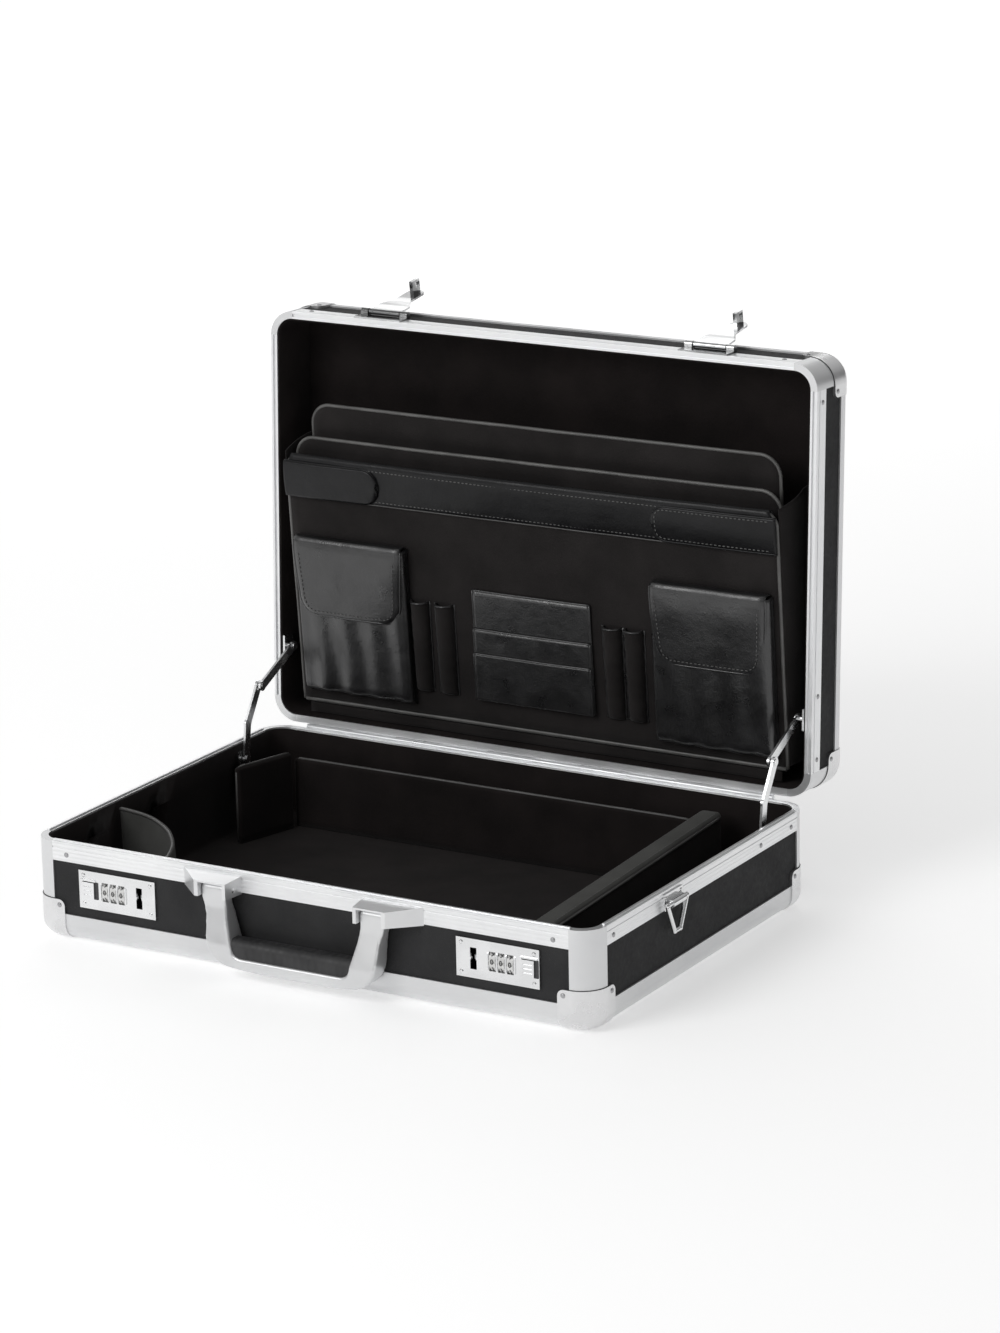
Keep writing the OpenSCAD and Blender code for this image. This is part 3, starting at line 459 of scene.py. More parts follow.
def liningTray(name, high, body, place, replaced, lockSides=()):
    low = lining["floor"]
    bm = bmesh.new()
    addBox(bm, (2 * lining["halfX"], 2 * lining["halfY"], high - low), (0, 0, (low + high) / 2))
    bmesh.ops.delete(bm, geom=[f for f in bm.faces if f.normal.z > 0.5], context="FACES")
    roundEdges(bm, [e for e in bm.edges if reach(e, 2) > 0.01], lining["cornerRadius"], 6)
    foot = [e for e in bm.edges if all(abs(v.co.z - low) < 1e-6 for v in e.verts)
            and not e.is_boundary and len({round(f.normal.z) for f in e.link_faces}) > 1]
    roundEdges(bm, foot, lining["floorRadius"], 3)
    long = [e for e in bm.edges if e.calc_length() > 0.08]
    bmesh.ops.subdivide_edges(bm, edges=long, cuts=24, use_grid_fill=True)
    for side in lockSides:
        lockWindow(bm, side)
    for vert in bm.verts:
        sag = noise.noise(vert.co * 14) * lining["softness"]
        vert.co.x -= math.copysign(max(0.0, sag), vert.co.x)
    bmesh.ops.recalc_face_normals(bm, faces=bm.faces)
    bmesh.ops.solidify(bm, geom=bm.faces[:], thickness=lining["cloth"])
    piece = finishPiece(name, bm, [liningCloth], body, place)
    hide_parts(replaced)


lidFlip = openLid @ Matrix.Translation((0, 0, lining["lidTop"])) @ Matrix.Diagonal((1, 1, -1, 1))
liningTray("baseLining", lining["baseTop"], "base", None, "base_lining", (-1, 1))
liningTray("lidLining", lining["lidDepth"], "lid", lidFlip, "lid_lining")
print("linings")


dividers = {
    "top": 0.065, "floor": 0.0061, "piping": 0.0011, "rounding": 0.0035,
    "rightLength": 0.270, "rightWidth": 0.019, "rightSpot": (0.1695, 0.003, 0), "rightTurn": 93.1,
    "rightCrown": 0.001, "coverDrop": 0.0045, "pipingDrop": 0.0042, "pipingInset": 0.0008,
    "stitchInset": 0.0028, "stitchRise": 0.0033,
    "thin": 0.007, "thinCrown": 0.0008,
    "rearLength": 0.341, "rearTop": 0.059, "rearSpot": (-0.0175, 0.1245, 0),
    "leftLength": 0.054, "leftSpot": (-0.1952, 0.0910, 0), "leftTurn": 74,
}


def paddedBar(length, width, high, crown, cutsLong):  # a wall along X whose sides swell by crown
    low = dividers["floor"]
    bm = bmesh.new()
    addBox(bm, (length, width - 2 * crown, high - low), (0, 0, (low + high) / 2))
    topEdges = [e for e in bm.edges if all(v.co.z > high - 1e-5 for v in e.verts)]
    ends = [e for e in bm.edges if reach(e, 2) > 0.01]
    roundEdges(bm, topEdges + ends, min(dividers["rounding"], width * 0.3), 4)
    long = [e for e in bm.edges if reach(e, 0) > length * 0.5]
    bmesh.ops.subdivide_edges(bm, edges=long, cuts=cutsLong, use_grid_fill=True)
    tall = [e for e in bm.edges if reach(e, 2) > 0.02]
    bmesh.ops.subdivide_edges(bm, edges=tall, cuts=8, use_grid_fill=True)
    for vert in bm.verts:
        alongX = 1 - (2 * vert.co.x / length) ** 8
        up = min(1, max(0, (vert.co.z - low) / (high - low)))
        swell = crown * max(0.0, alongX) * math.sin(math.pi * up) ** 0.6
        swell *= 0.8 + 0.4 * noise.noise(vert.co * 30)
        if abs(vert.co.y) > width * 0.2:
            vert.co.y += math.copysign(swell, vert.co.y)
    return bm


def rightDivider():
    length, width, top = dividers["rightLength"], dividers["rightWidth"], dividers["top"]
    bm = paddedBar(length, width, top - 0.0008, dividers["rightCrown"], 40)
    for face in bm.faces:
        onTop = face.calc_center_median().z > top - dividers["coverDrop"]
        face.material_index = 1 if onTop else 0
    for side in (-1, 1):
        y = side * (width / 2 - dividers["pipingInset"])
        line = [Vector((x * length / 40, y, top - dividers["pipingDrop"])) for x in range(-19, 20)]
        mergeInto(bm, tubeMesh(line, dividers["piping"]), 2)
        shift = Vector((0, -side * dividers["stitchInset"], dividers["stitchRise"]))
        stitchRow(bm, [point + shift for point in line], matIndex=3)
    turn = Matrix.Rotation(math.radians(dividers["rightTurn"]), 4, "Z")
    mats = [liningCloth, greyCloth, pipingVinyl, stitchThread]
    place = Matrix.Translation(dividers["rightSpot"]) @ turn
    piece = finishPiece("rightDivider", bm, mats, "base", place)
    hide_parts("divider_right")


def thinDivider(name, length, top, place, replaced):
    bm = paddedBar(length, dividers["thin"], top, dividers["thinCrown"], 24)
    half, foot = length / 2, dividers["floor"] + 0.002
    corner = ((half - 0.004, top), (half - 0.0004, top - 0.004), (half - 0.0004, foot))
    line = [Vector((-x, 0, z)) for x, z in reversed(corner)]
    line += [Vector((length * (k / 20 - 0.5), 0, top + 0.0002)) for k in range(1, 20)]
    line += [Vector((x, 0, z)) for x, z in corner]
    mergeInto(bm, tubeMesh(line, dividers["piping"]), 1)
    piece = finishPiece(name, bm, [liningCloth, pipingVinyl], "base", place)
    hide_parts(replaced)


cornerFlap = {
    "centre": (-0.2228, -0.1518, 0), "radius": 0.0905, "height": 0.058, "start": 1.5, "sweep": 87,
    "thickness": 0.0018, "piping": 0.0012,
}


def curvedFlap():
    def shape(u, v):
        angle = math.radians(cornerFlap["start"] + cornerFlap["sweep"] * u)
        lift = v * cornerFlap["height"] * (1 - 0.06 * math.cos(angle * 2))
        ripple = 0.0006 * noise.noise(Vector((u * 6, v * 3, 0)))
        out = cornerFlap["radius"] + 0.0012 * math.sin(v * math.pi) + ripple
        arm = Vector((math.cos(angle) * out, math.sin(angle) * out, dividers["floor"] + lift))
        return Vector(cornerFlap["centre"]) + arm

    bm = gridSheet(48, 16, shape, cornerFlap["thickness"])
    edge = [shape(k / 60, 0.985) for k in range(61)]
    mergeInto(bm, tubeMesh(edge, cornerFlap["piping"]), 1)
    piece = finishPiece("cornerFlap", bm, [greyCloth, pipingVinyl], "base")
    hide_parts("divider_strap")


rearPlace = Matrix.Translation(dividers["rearSpot"])
leftTurn = Matrix.Rotation(math.radians(dividers["leftTurn"]), 4, "Z")
leftPlace = Matrix.Translation(dividers["leftSpot"]) @ leftTurn
rightDivider()
thinDivider("rearDivider", dividers["rearLength"], dividers["rearTop"], rearPlace, "divider_rear")
thinDivider("leftDivider", dividers["leftLength"], dividers["top"], leftPlace, "divider_left")
curvedFlap()
print("base dividers")


boards = {  # x half width, y of the top edge and w height above the rim's plane, with the lid shut
    "front": {"half": 0.207, "top": -0.054, "w": 0.008, "radius": 0.010},
    "middle": {"half": 0.205, "top": -0.066, "w": 0.020, "radius": 0.016},
    "rear": {"half": 0.198, "top": -0.088, "w": 0.034, "radius": 0.016},
    "foot": 0.141, "thickness": 0.0019, "piping": 0.0014,
    "footWidth": 0.412, "footW": 0.009, "footPiping": 0.0019,
    "bulge": 0.0040, "bulgeHalf": 0.212, "bulgeStart": -0.006, "bulgeRun": 0.06,
    "stripWidth": 0.395, "stripY": 0.1395, "stripLow": 0.0102, "stripDepth": 0.0255,
    "stripThickness": 0.0015,
}


def inLid(x, y, w):
    return Vector((x, y, case["lidFace"] + w))


def frontBulge(x, y):  # the board bows out above the pouches
    across = max(0.0, 1 - (x / boards["bulgeHalf"]) ** 2)
    return boards["bulge"] * across * smoothStep((boards["bulgeStart"] - y) / boards["bulgeRun"])


def bulged(co):
    return Vector((co.x, co.y, co.z - frontBulge(co.x, co.y)))


def bulgeAll(bm):
    for vert in bm.verts:
        vert.co = bulged(vert.co)


def roundedHalf(half, top, radius, y):
    gap = y - top
    if gap >= radius:
        return half
    return half - radius + math.sqrt(max(0.0, radius ** 2 - (radius - gap) ** 2))


def softBoard(board, bend):
    foot, top, thick = boards["foot"], board["top"], boards["thickness"]

    def shape(u, v):
        y = foot + (top - foot) * math.sin(v * math.pi / 2)
        x = (u * 2 - 1) * roundedHalf(board["half"], top, board["radius"], y)
        ripple = 0.0005 * noise.noise(Vector((x * 22, y * 22, board["w"])))
        return inLid(x, y, board["w"] + ripple - bend(x, y))

    bm = gridSheet(60, 36, shape, thick)
    edge = [shape(0.0, v / 40) for v in range(40)] + [shape(u / 60, 1.0) for u in range(61)]
    edge += [shape(1.0, v / 40) for v in range(39, -1, -1)]
    edge = [point + Vector((0, 0, thick / 2)) for point in edge]
    mergeInto(bm, tubeMesh(edge, boards["piping"]), 1)
    return bm


def organiserBoards():
    def strip(u, v):
        w = boards["stripLow"] + boards["stripDepth"] * v
        return inLid((u - 0.5) * boards["stripWidth"], boards["stripY"], w)

    bm = softBoard(boards["middle"], lambda x, y: 0.5 * frontBulge(x, y))
    mergeInto(bm, softBoard(boards["rear"], lambda x, y: 0.35 * frontBulge(x, y)))
    mergeInto(bm, gridSheet(40, 6, strip, boards["stripThickness"]))
    piece = finishPiece("documentBoards", bm, [boardCloth, boardPiping], "organiser",
                        leanOut)
    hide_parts("organiser_dividers")


def frontBoard():
    bm = softBoard(boards["front"], frontBulge)
    width, y, w = boards["footWidth"], boards["foot"], boards["footW"]
    foot = [bulged(inLid((k / 40 - 0.5) * width, y, w)) for k in range(41)]
    mergeInto(bm, tubeMesh(foot, boards["footPiping"]), 1)
    piece = finishPiece("frontBoard", bm, [boardCloth, boardPiping], "organiser",
                        leanOut)
    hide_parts("organiser_front")


band = {  # the fold runs over the front board's top edge, as y and w
    "fold": ((-0.030, 0.0112), (-0.050, 0.0112), (-0.0552, 0.0106), (-0.0562, 0.0092),
             (-0.0552, 0.0076), (-0.050, 0.0068), (-0.040, 0.0066), (-0.030, 0.0066),
             (-0.0235, 0.0071)),
    "overhang": 0.0002, "thickness": 0.0007, "piping": 0.0007,
    "stitchY": (-0.0262, -0.0505), "stitchW": 0.0063,
    "tabEnds": ((-0.2072, -0.126), (0.2072, 0.107)), "tabY": -0.0375, "tabW": 0.0052,
    "tabHalf": 0.0135, "tabTip": 0.0115, "tabCrown": 0.0012, "tabThickness": 0.0013,
    "tabEdge": 0.0009,
}


def foldPath(points):
    return [Vector((0, y, w)) for y, w in points]


def closingTab(bm, start, end):
    tip = band["tabTip"]

    def tab(u, v):
        x = start + (end - start) * u
        tipGap = abs(end - x)
        half = band["tabHalf"]
        if tipGap < tip:
            half += tip * (math.sqrt(max(0.0, 1 - ((tip - tipGap) / tip) ** 2)) - 1)
        crown = band["tabCrown"] * (1 - (v * 2 - 1) ** 2)
        y = band["tabY"] + (v * 2 - 1) * half
        return inLid(x, y, band["tabW"] - crown - 0.0005 * math.sin(u * 5) - frontBulge(x, y))

    mergeInto(bm, gridSheet(60, 16, tab, band["tabThickness"]), 0)
    rim = [tab(k / 40, 0.09) for k in range(2, 39)]
    rim += [tab(0.965, 0.2 + k * 0.06) for k in range(11)]
    rim += [tab(k / 40, 0.91) for k in range(38, 1, -1)]
    stitchRow(bm, [point - Vector((0, 0, 0.0002)) for point in rim])
    edge = [tab(k / 50, 0.0) for k in range(51)] + [tab(k / 50, 1.0) for k in range(50, -1, -1)]
    mergeInto(bm, tubeMesh([point + Vector((0, 0, 0.0006)) for point in edge], band["tabEdge"]), 0)


def leatherBand():
    fold = foldPath(band["fold"])

    def shape(u, v):
        spot = alongPath(fold, v)
        x = (u * 2 - 1) * (boards["front"]["half"] + band["overhang"])
        pucker = 0.0005 * noise.noise(Vector((x * 30, v * 2, 3)))
        x *= 1 - max(0.0, -0.044 - spot.y) * 2.2  # follows the board's rounded corners
        return inLid(x, spot.y, spot.z + pucker - frontBulge(x, spot.y))

    bm = gridSheet(120, 24, shape, band["thickness"])
    for y in band["stitchY"]:
        stitchRow(bm, [bulged(inLid(x * 0.0101, y, band["stitchW"])) for x in range(-20, 21)])
    lowEdge = [shape(k / 100, 1.0) - Vector((0, 0, 0.0003)) for k in range(101)]
    mergeInto(bm, tubeMesh(lowEdge, band["piping"]), 2)
    for start, end in band["tabEnds"]:
        closingTab(bm, start, end)
    piece = finishPiece("leatherBand", bm, [bandLeather, stitchThread, pipingVinyl], "organiser",
                        leanOut)
    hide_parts("organiser_tabs")


pouch = {  # the side runs from the board round the edge to the front, as inset and w
    "x": 0.153, "half": 0.048, "top": 0.0088, "foot": 0.132, "boardW": 0.0078, "frontW": -0.002,
    "side": ((0, 0.0078), (0.0008, 0.005), (-0.0002, 0.002), (0.0015, -0.0008), (0.006, -0.0018)),
    "pleat": 0.0009, "pleatPitch": 0.024, "crease": 0.0008, "thickness": 0.0011, "hem": 0.0011,
}


def pleatedPouch(bm, centreX):
    half, boardW = pouch["half"], pouch["boardW"]
    across = [Vector((inset - half, 0, w)) for inset, w in pouch["side"]]
    across += [Vector((0, 0, pouch["frontW"]))]
    across += [Vector((half - inset, 0, w)) for inset, w in reversed(pouch["side"])]

    def shape(u, v):
        spot = alongPath(across, u)
        y = pouch["top"] + (pouch["foot"] - pouch["top"]) * v
        close = 1.0 if v < 0.93 else math.sqrt(max(0.0, 1 - ((v - 0.93) / 0.07) ** 2))
        front = smoothStep((0.004 - spot.z) / 0.004)
        wave = math.sin(spot.x * 2 * math.pi / pouch["pleatPitch"] + 0.6 * math.sin(y * 40))
        pleat = pouch["pleat"] * wave * front * smoothStep(v * 2.2)
        crease = pouch["crease"] * noise.noise(Vector((spot.x * 40, y * 16, centreX * 9))) * front
        return inLid(centreX + spot.x, y, boardW - (boardW - spot.z) * close + pleat + crease)

    mergeInto(bm, gridSheet(90, 46, shape, pouch["thickness"]), 0)
    mergeInto(bm, tubeMesh([shape(k / 60, 0.012) for k in range(61)], pouch["hem"]), 0)


def pouches():
    bm = bmesh.new()
    for side in (-1, 1):
        pleatedPouch(bm, side * pouch["x"])
    bulgeAll(bm)
    piece = finishPiece("pouches", bm, [pouchLeather, stitchThread], "organiser",
                        leanOut)
    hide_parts("organiser_pouches")


flap = {  # the fold runs from the board over the pouch and down its front, as y and w
    "fold": ((0.0068, 0.0066), (0.0058, 0.004), (0.0054, 0.001), (0.0060, -0.0018),
             (0.0085, -0.0034), (0.014, -0.0042), (0.030, -0.0044), (0.050, -0.0040),
             (0.0665, -0.0034)),
    "half": 0.0472, "taper": 0.0032, "tip": 0.0667, "corner": 0.015, "crown": 0.0011,
    "tuck": 0.0016, "thickness": 0.0013, "edge": 0.0009, "foldLine": 0.0061,
}


def pouchFlap(name, centreX, body, replaced):
    fold = foldPath(flap["fold"])
    corner = flap["corner"]

    def shape(u, v):
        spot = alongPath(fold, v)
        drop, across = spot.y, u * 2 - 1
        half = flap["half"] - flap["taper"] * smoothStep((drop - 0.012) / 0.050)
        tipGap = flap["tip"] - drop
        if tipGap < corner:
            half -= corner - math.sqrt(max(0.0, corner ** 2 - (corner - tipGap) ** 2))
        x = across * half
        crown = flap["crown"] * (1 - across ** 4) * smoothStep((drop - 0.006) / 0.02)
        crease = 0.0006 * noise.noise(Vector((x * 34, drop * 30, centreX * 5)))
        pull = 0.0003 * max(0.0, 1 - abs(across) * 3) * math.sin(drop * 60)
        side = max(0.0, abs(across) - 0.88) / 0.12
        tuck = flap["tuck"] * side ** 2 if spot.z < 0 else 0.0
        return inLid(centreX + x, drop + 0.5 * tuck, spot.z - crown + crease + pull + tuck)

    bm = gridSheet(56, 50, shape, flap["thickness"])
    rim = [shape(0.055, k / 40) for k in range(12, 38)]
    rim += [shape(0.055 + 0.89 * k / 30, 0.955) for k in range(1, 30)]
    rim += [shape(0.945, k / 40) for k in range(37, 11, -1)]
    stitchRow(bm, [point - Vector((0, 0, 0.0003)) for point in rim])
    edge = [shape(0.0, k / 50) for k in range(8, 51)] + [shape(k / 30, 1.0) for k in range(1, 30)]
    edge += [shape(1.0, k / 50) for k in range(50, 7, -1)]
    mergeInto(bm, tubeMesh([point + Vector((0, 0, 0.0005)) for point in edge], flap["edge"]), 0)
    for vert in bm.verts:
        vert.co.y = max(vert.co.y, flap["foldLine"])  # clear of the board when the flap is lifted
    piece = finishPiece(name, bm, [pouchLeather, stitchThread], body, leanOut)
    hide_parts(replaced)


sleeves = {
    "x": (-0.0968, -0.0755, 0.068, 0.086), "top": 0.048, "length": 0.072, "w": 0.0078,
    "radius": 0.0073, "taper": 0.0006, "thickness": 0.0008, "hem": 0.0008, "seam": 0.0007,
    "seamOut": 0.0012,
}
cardSlots = {
    "tops": (0.034, 0.064, 0.083), "foot": 0.1195, "width": 0.0996, "w": 0.0066, "step": 0.0016,
    "loose": 0.0007, "thickness": 0.0007, "hem": 0.0009, "side": 0.0008, "stitchDrop": 0.0032,
}


def penSleeve(bm, x):
    def sleeve(u, v):
        angle = math.pi * u
        radius = sleeves["radius"] - sleeves["taper"] * v + 0.0002 * math.sin(v * 40)
        squeeze = 1.0 if v < 0.95 else 1 - 0.55 * (v - 0.95) / 0.05
        w = sleeves["w"] - math.sin(angle) * radius * 0.98 * squeeze
        return inLid(x - math.cos(angle) * radius, sleeves["top"] + sleeves["length"] * v, w)

    mergeInto(bm, gridSheet(20, 30, sleeve, sleeves["thickness"]), 0)
    mergeInto(bm, tubeMesh([sleeve(k / 20, 0.01) for k in range(21)], sleeves["hem"]), 1)
    for edge, out in ((0.0, -sleeves["seamOut"]), (1.0, sleeves["seamOut"])):
        seam = [sleeve(edge, k / 20) + Vector((out, 0, 0.0001)) for k in range(21)]
        mergeInto(bm, tubeMesh(seam, sleeves["seam"]), 1)


def cardSlot(bm, k, top):
    foot = cardSlots["foot"]

    def slot(u, v):
        x, y = (u - 0.5) * cardSlots["width"], top + (foot - top) * v
        loose = cardSlots["loose"] * (1 - (2 * u - 1) ** 2) * (1 - v)
        ripple = 0.0002 * noise.noise(Vector((x * 40, y * 40, k)))
        return inLid(x, y, cardSlots["w"] - cardSlots["step"] * k - loose + ripple)

    mergeInto(bm, gridSheet(40, 24, slot, cardSlots["thickness"]), 1)
    mergeInto(bm, tubeMesh([slot(i / 40, 0.0) for i in range(41)], cardSlots["hem"]), 1)
    line = [slot(0.02 + 0.96 * i / 30, cardSlots["stitchDrop"] / (foot - top)) for i in range(31)]
    stitchRow(bm, [point - Vector((0, 0, 0.0003)) for point in line], matIndex=2)
    for u in (0.0, 1.0):
        mergeInto(bm, tubeMesh([slot(u, i / 20) for i in range(21)], cardSlots["side"]), 1)


def sleevesAndSlots():
    bm = bmesh.new()
    for x in sleeves["x"]:
        penSleeve(bm, x)
    for k, top in enumerate(cardSlots["tops"]):
        cardSlot(bm, k, top)
    bulgeAll(bm)
    piece = finishPiece("penSleevesAndSlots", bm, [boardCloth, pouchLeather, stitchThread],
                        "organiser", leanOut)
    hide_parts("organiser_slots")


gusset = {
    "foot": 0.139, "height": 0.196, "boardX": 0.2078, "boardW": 0.0095, "lidX": 0.2085,
    "lidW": 0.0425, "flare": 0.012, "fold": 0.0024, "thickness": 0.0008, "largestArea": 0.012,
    "blendY": 0.04, "blendLidW": 0.040, "blendBoardW": 0.011,
    "seamWidth": 0.405, "seamY": 0.1436, "seamRun": 0.0078, "seamW": 0.0100,
    "seamThickness": 0.0012,
}


def sideGusset(side, word):  # folded cloth from a side of the boards back to the lid
    def shape(u, v):
        y = gusset["foot"] - gusset["height"] * v
        fold = gusset["fold"] * abs(math.sin(u * math.pi * 1.5)) * smoothStep(v * 3)
        onBoard = leanOut @ inLid(side * gusset["boardX"], y, gusset["boardW"])
        onLid = openLid @ inLid(side * gusset["lidX"], y - gusset["flare"] * v, gusset["lidW"])
        point = onBoard.lerp(onLid, u)
        point.x += side * (fold + 0.0005 * noise.noise(Vector((u * 3, v * 9, side))))
        return point

    bm = gridSheet(24, 60, shape, gusset["thickness"])
    piece = finishPiece("gusset" + word, bm, [boardCloth], None)
    if side < 0:
        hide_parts("organiser_gussets")
    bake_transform(piece)


def footSeam():  # the cloth hinge under the boards
    def strip(u, v):
        x, y = (u - 0.5) * gusset["seamWidth"], gusset["seamY"] + gusset["seamRun"] * v
        return inLid(x, y, gusset["seamW"] + 0.0006 * math.sin(u * 30))

    bm = gridSheet(60, 4, strip, gusset["seamThickness"])
    piece = finishPiece("footSeam", bm, [boardCloth], "lid", openLid)


organiserBoards()
frontBoard()
leatherBand()
pouches()
pouchFlap("pouchFlapLeft", -pouch["x"], "flap_left", "pocket_flap_left")
pouchFlap("pouchFlapRight", pouch["x"], "flap_right", "pocket_flap_right")
sleevesAndSlots()
sideGusset(-1, "Left")
sideGusset(1, "Right")
footSeam()
print("lid organiser")


handle = {
    "pivotY": -0.168, "top": 0.050, "foot": 0.024, "bendRun": 0.007,
    "cuts": (0.050, 0.0475, 0.045, 0.043, 0.040, 0.036, 0.031, 0.024),
    "armHalf": 0.005, "frontOut": 0.006, "backOut": 0.002, "voxel": 0.0008, "softening": 26,
}


def mouldedHandle():
    bm = bmesh.new()
    bm.from_mesh(bpy.data.objects["handle_shell"].data)
    bmesh.ops.remove_doubles(bm, verts=bm.verts, dist=1e-5)
    for height in handle["cuts"]:
        cutAt(bm, (0, 0, height), (0, 0, 1))
    for vert in bm.verts:  # the front of each arm runs straight down, as the moulding does
        up = vert.co.z
        if handle["foot"] < up < handle["top"]:
            bend = min(1.0, max(0.0, (handle["top"] - up) / handle["bendRun"]))
            run = (handle["top"] - up) / (handle["top"] - handle["foot"])
            front = -handle["armHalf"] - handle["frontOut"] * bend
            back = handle["armHalf"] + handle["backOut"] * bend
            straight = -handle["armHalf"] - handle["frontOut"] * run
            out = vert.co.y - handle["pivotY"]
            vert.co.y = handle["pivotY"] + back + (out - back) * (back - straight) / (back - front)
    piece = finishPiece("mouldedHandle", bm, [handleSilverPaintedShade], "handle",
                        recalc=False)
    addModifier(piece, "REMESH", mode="VOXEL", voxel_size=handle["voxel"], use_smooth_shade=True)
    addModifier(piece, "SMOOTH", factor=0.5, iterations=handle["softening"])
    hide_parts("handle_shell")


mouldedHandle()
print("handle")


seams = {
    "radius": 0.00024, "baseHeight": 0.0292, "lidHeight": 0.0991, "arc": 0.0192,
    "cornerX": 0.211, "cornerY": 0.140,
}
buttonSlot = {
    "x": 0.180, "shift": 0.00135, "y": -0.15965, "z": 0.040, "size": (0.0136, 0.0001, 0.0130),
    "corner": 0.0008,
}


def capSeams(name, height, body, place):  # painted shadow: a dark line where the corner posts go into the caps
    def corner(sideX, sideY, angle):
        x = sideX * (seams["cornerX"] + seams["arc"] * math.cos(angle))
        return Vector((x, sideY * (seams["cornerY"] + seams["arc"] * math.sin(angle)), height))

    bm = bmesh.new()
    for sideX in (-1, 1):
        for sideY in (-1, 1):
            line = [corner(sideX, sideY, k * math.pi / 24) for k in range(13)]
            mergeInto(bm, tubeMesh(line, seams["radius"]))
    finishPiece(name, bm, [seamShadow], body, place)


def buttonSlots():  # painted shade: a thin dark plate where each release button slides into its recess
    bm = bmesh.new()
    for side in (-1, 1):
        spot = (side * buttonSlot["x"] + buttonSlot["shift"], buttonSlot["y"], buttonSlot["z"])
        made = addBox(bm, buttonSlot["size"], spot)
        across = dict.fromkeys(e for v in made for e in v.link_edges if reach(e, 1) > 5e-5)
        roundEdges(bm, list(across), buttonSlot["corner"], 3)
    finishPiece("buttonSlots", bm, [seamShadow], "base", smooth=False)


capSeams("baseCapSeams", seams["baseHeight"], "base", None)
capSeams("lidCapSeams", seams["lidHeight"], "lid", openLid)
buttonSlots()
print("seams")


wheel = {
    "lockX": 0.156, "first": 0.003, "pitch": 0.007, "y": -0.1517, "z": 0.040, "radius": 0.009,
    "digit": 0.0052, "digitDepth": 0.00006, "digitBolder": 0.00008, "digitProud": 0.00004,
}


def wheelDigits(name, x, body):
    centre = Matrix.Translation((x, wheel["y"], wheel["z"]))
    upright = Matrix.Rotation(math.radians(90), 4, "X")
    onRim = Matrix.Translation((0, -wheel["radius"] - wheel["digitProud"], 0)) @ upright
    bm = bmesh.new()
    for number in range(10):
        text = bpy.data.curves.new("digit", "FONT")
        text.body = str(number)
        text.size = wheel["digit"]
        text.align_x = "CENTER"
        text.align_y = "CENTER"
        text.extrude = wheel["digitDepth"]
        text.offset = wheel["digitBolder"]
        text.resolution_u = 3
        mesh = bakedMesh(text)
        mesh.transform(centre @ Matrix.Rotation(math.radians(36 * number), 4, "X") @ onRim)
        bm.from_mesh(mesh)
        bpy.data.meshes.remove(mesh)
    finishPiece(name, bm, [digitInk], body, smooth=False, recalc=False)


for side, word in ((-1, "left"), (1, "right")):
    for n in (1, 2, 3):
        x = side * (wheel["lockX"] + wheel["first"]) + (n - 2) * wheel["pitch"]
        wheelDigits(f"digits_{word}_{n}", x, f"dial_{word}_{n}")
print("number wheels")


studio = {
    "horizon": 0.15, "sky": 0.72, "zenith": 0.3, "rightSide": 0.4,
    "floorShade": 0.94, "floorGlow": 0.36, "floorSize": 18, "floorZ": -0.0021,
}
lights = {  # place, size, power and aim
    "keyLight": ((-0.9, -2.4, 1.7), 1.5, 31, (0, 0.03, 0.12)),
    "fillLight": ((2.6, -0.9, 1.5), 1.8, 0.9, (0, 0.03, 0.12)),
    "topLight": ((0.2, 0.2, 2.6), 2.0, 7, (0, 0.03, 0.12)),
    "farLight": ((-1.8, 3.1, 2.3), 2.6, 40, (-2.0, 3.4, 0)),
}


def grey(value):
    return (value, value, value)


def rampOver(nodes, stops):
    ramp = nodes.new("ShaderNodeValToRGB")
    elements = ramp.color_ramp.elements
    for i, (spot, value) in enumerate(stops):
        stop = elements[i] if i < 2 else elements.new(spot)
        stop.position = spot
        stop.color = (*grey(value), 1)
    return ramp


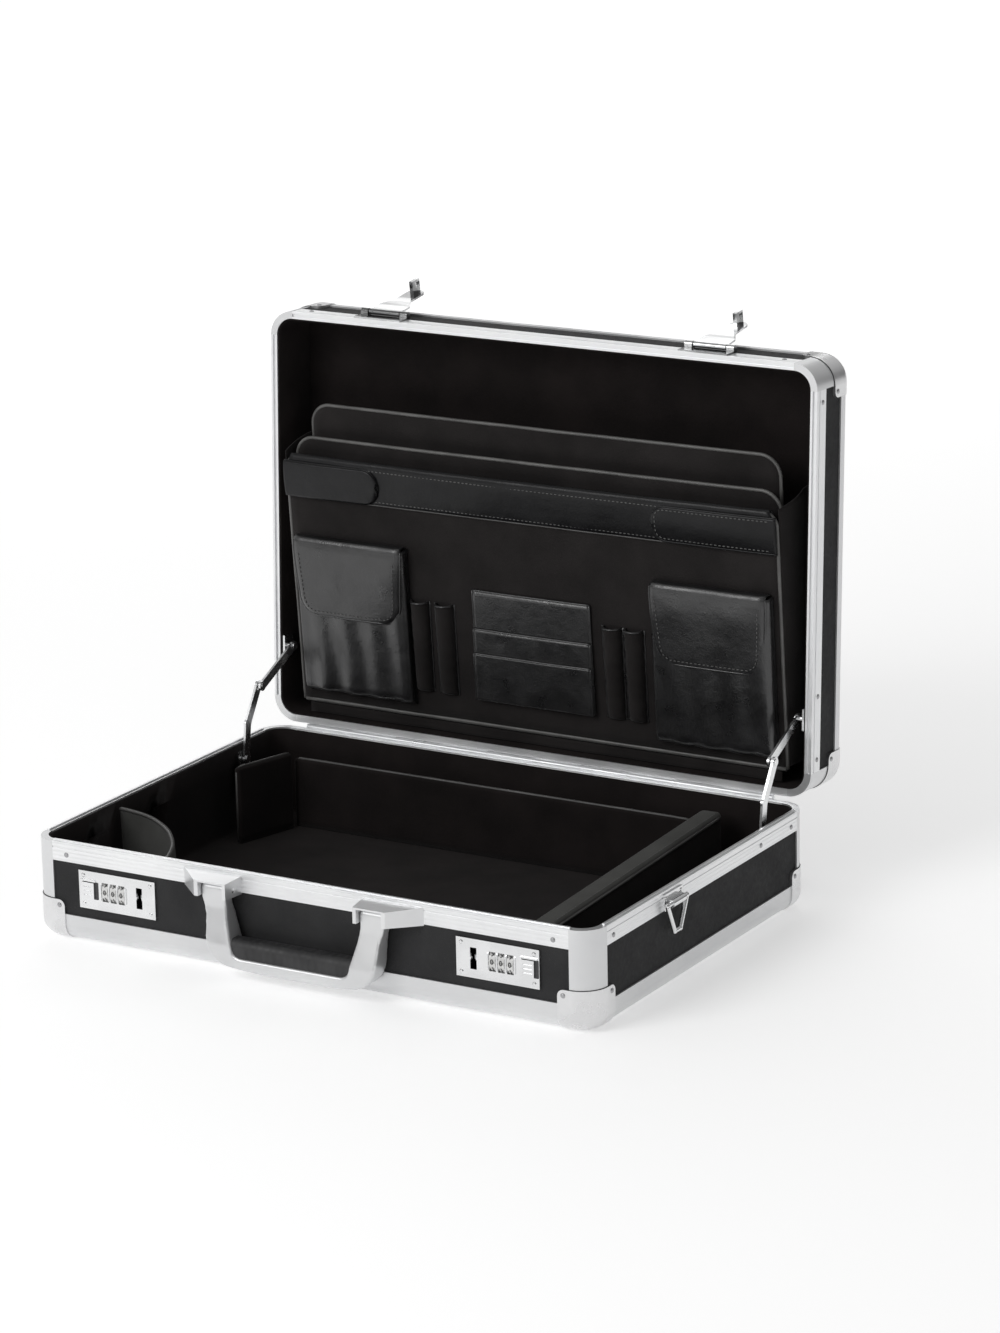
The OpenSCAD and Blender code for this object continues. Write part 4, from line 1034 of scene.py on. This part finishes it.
def studioWorld():
    world = bpy.data.worlds.new("studio")
    world.use_nodes = True
    nodes, links = world.node_tree.nodes, world.node_tree.links
    coords = nodes.new("ShaderNodeTexCoord")
    parts = nodes.new("ShaderNodeSeparateXYZ")
    height = rampOver(nodes, ((0.05, studio["horizon"]), (0.30, studio["sky"]),
                              (0.9, studio["zenith"])))
    across = rampOver(nodes, ((0.0, 1), (0.6, studio["rightSide"])))
    shade = nodes.new("ShaderNodeVectorMath")
    shade.operation = "MULTIPLY"
    links.new(coords.outputs["Generated"], parts.inputs["Vector"])
    links.new(parts.outputs["Z"], height.inputs["Fac"])
    links.new(parts.outputs["X"], across.inputs["Fac"])
    links.new(height.outputs["Color"], shade.inputs[0])
    links.new(across.outputs["Color"], shade.inputs[1])
    links.new(shade.outputs["Vector"], nodes["Background"].inputs["Color"])
    nodes["Background"].inputs["Strength"].default_value = 1.0
    bpy.context.scene.world = world


def softLight(name, spot, size, power, target):
    data = bpy.data.lights.new(name, "AREA")
    data.size = size
    data.energy = power
    lamp = bpy.data.objects.new(name, data)
    aim = Vector(target) - Vector(spot)
    lamp.matrix_world = Matrix.Translation(spot) @ aim.to_track_quat("-Z", "Y").to_matrix().to_4x4()
    bpy.context.scene.collection.objects.link(lamp)


def makeStage():
    bm = bmesh.new()
    bmesh.ops.create_grid(bm, x_segments=2, y_segments=2, size=studio["floorSize"])
    bmesh.ops.translate(bm, verts=bm.verts, vec=(0, 0, studio["floorZ"]))
    mesh = bpy.data.meshes.new("floor")
    bm.to_mesh(mesh)
    bm.free()
    white = startMaterial("floorWhite", grey(studio["floorShade"]), 0.9,
                          Emission_Color=(1, 1, 1, 1), Emission_Strength=studio["floorGlow"])
    mesh.materials.append(white)
    floor = bpy.data.objects.new("floor", mesh)
    bpy.context.scene.collection.objects.link(floor)
    studioWorld()
    for name, (spot, size, power, target) in lights.items():
        softLight(name, spot, size, power, target)
    bpy.context.scene.view_settings.view_transform = "Standard"


makeStage()
print("stage")
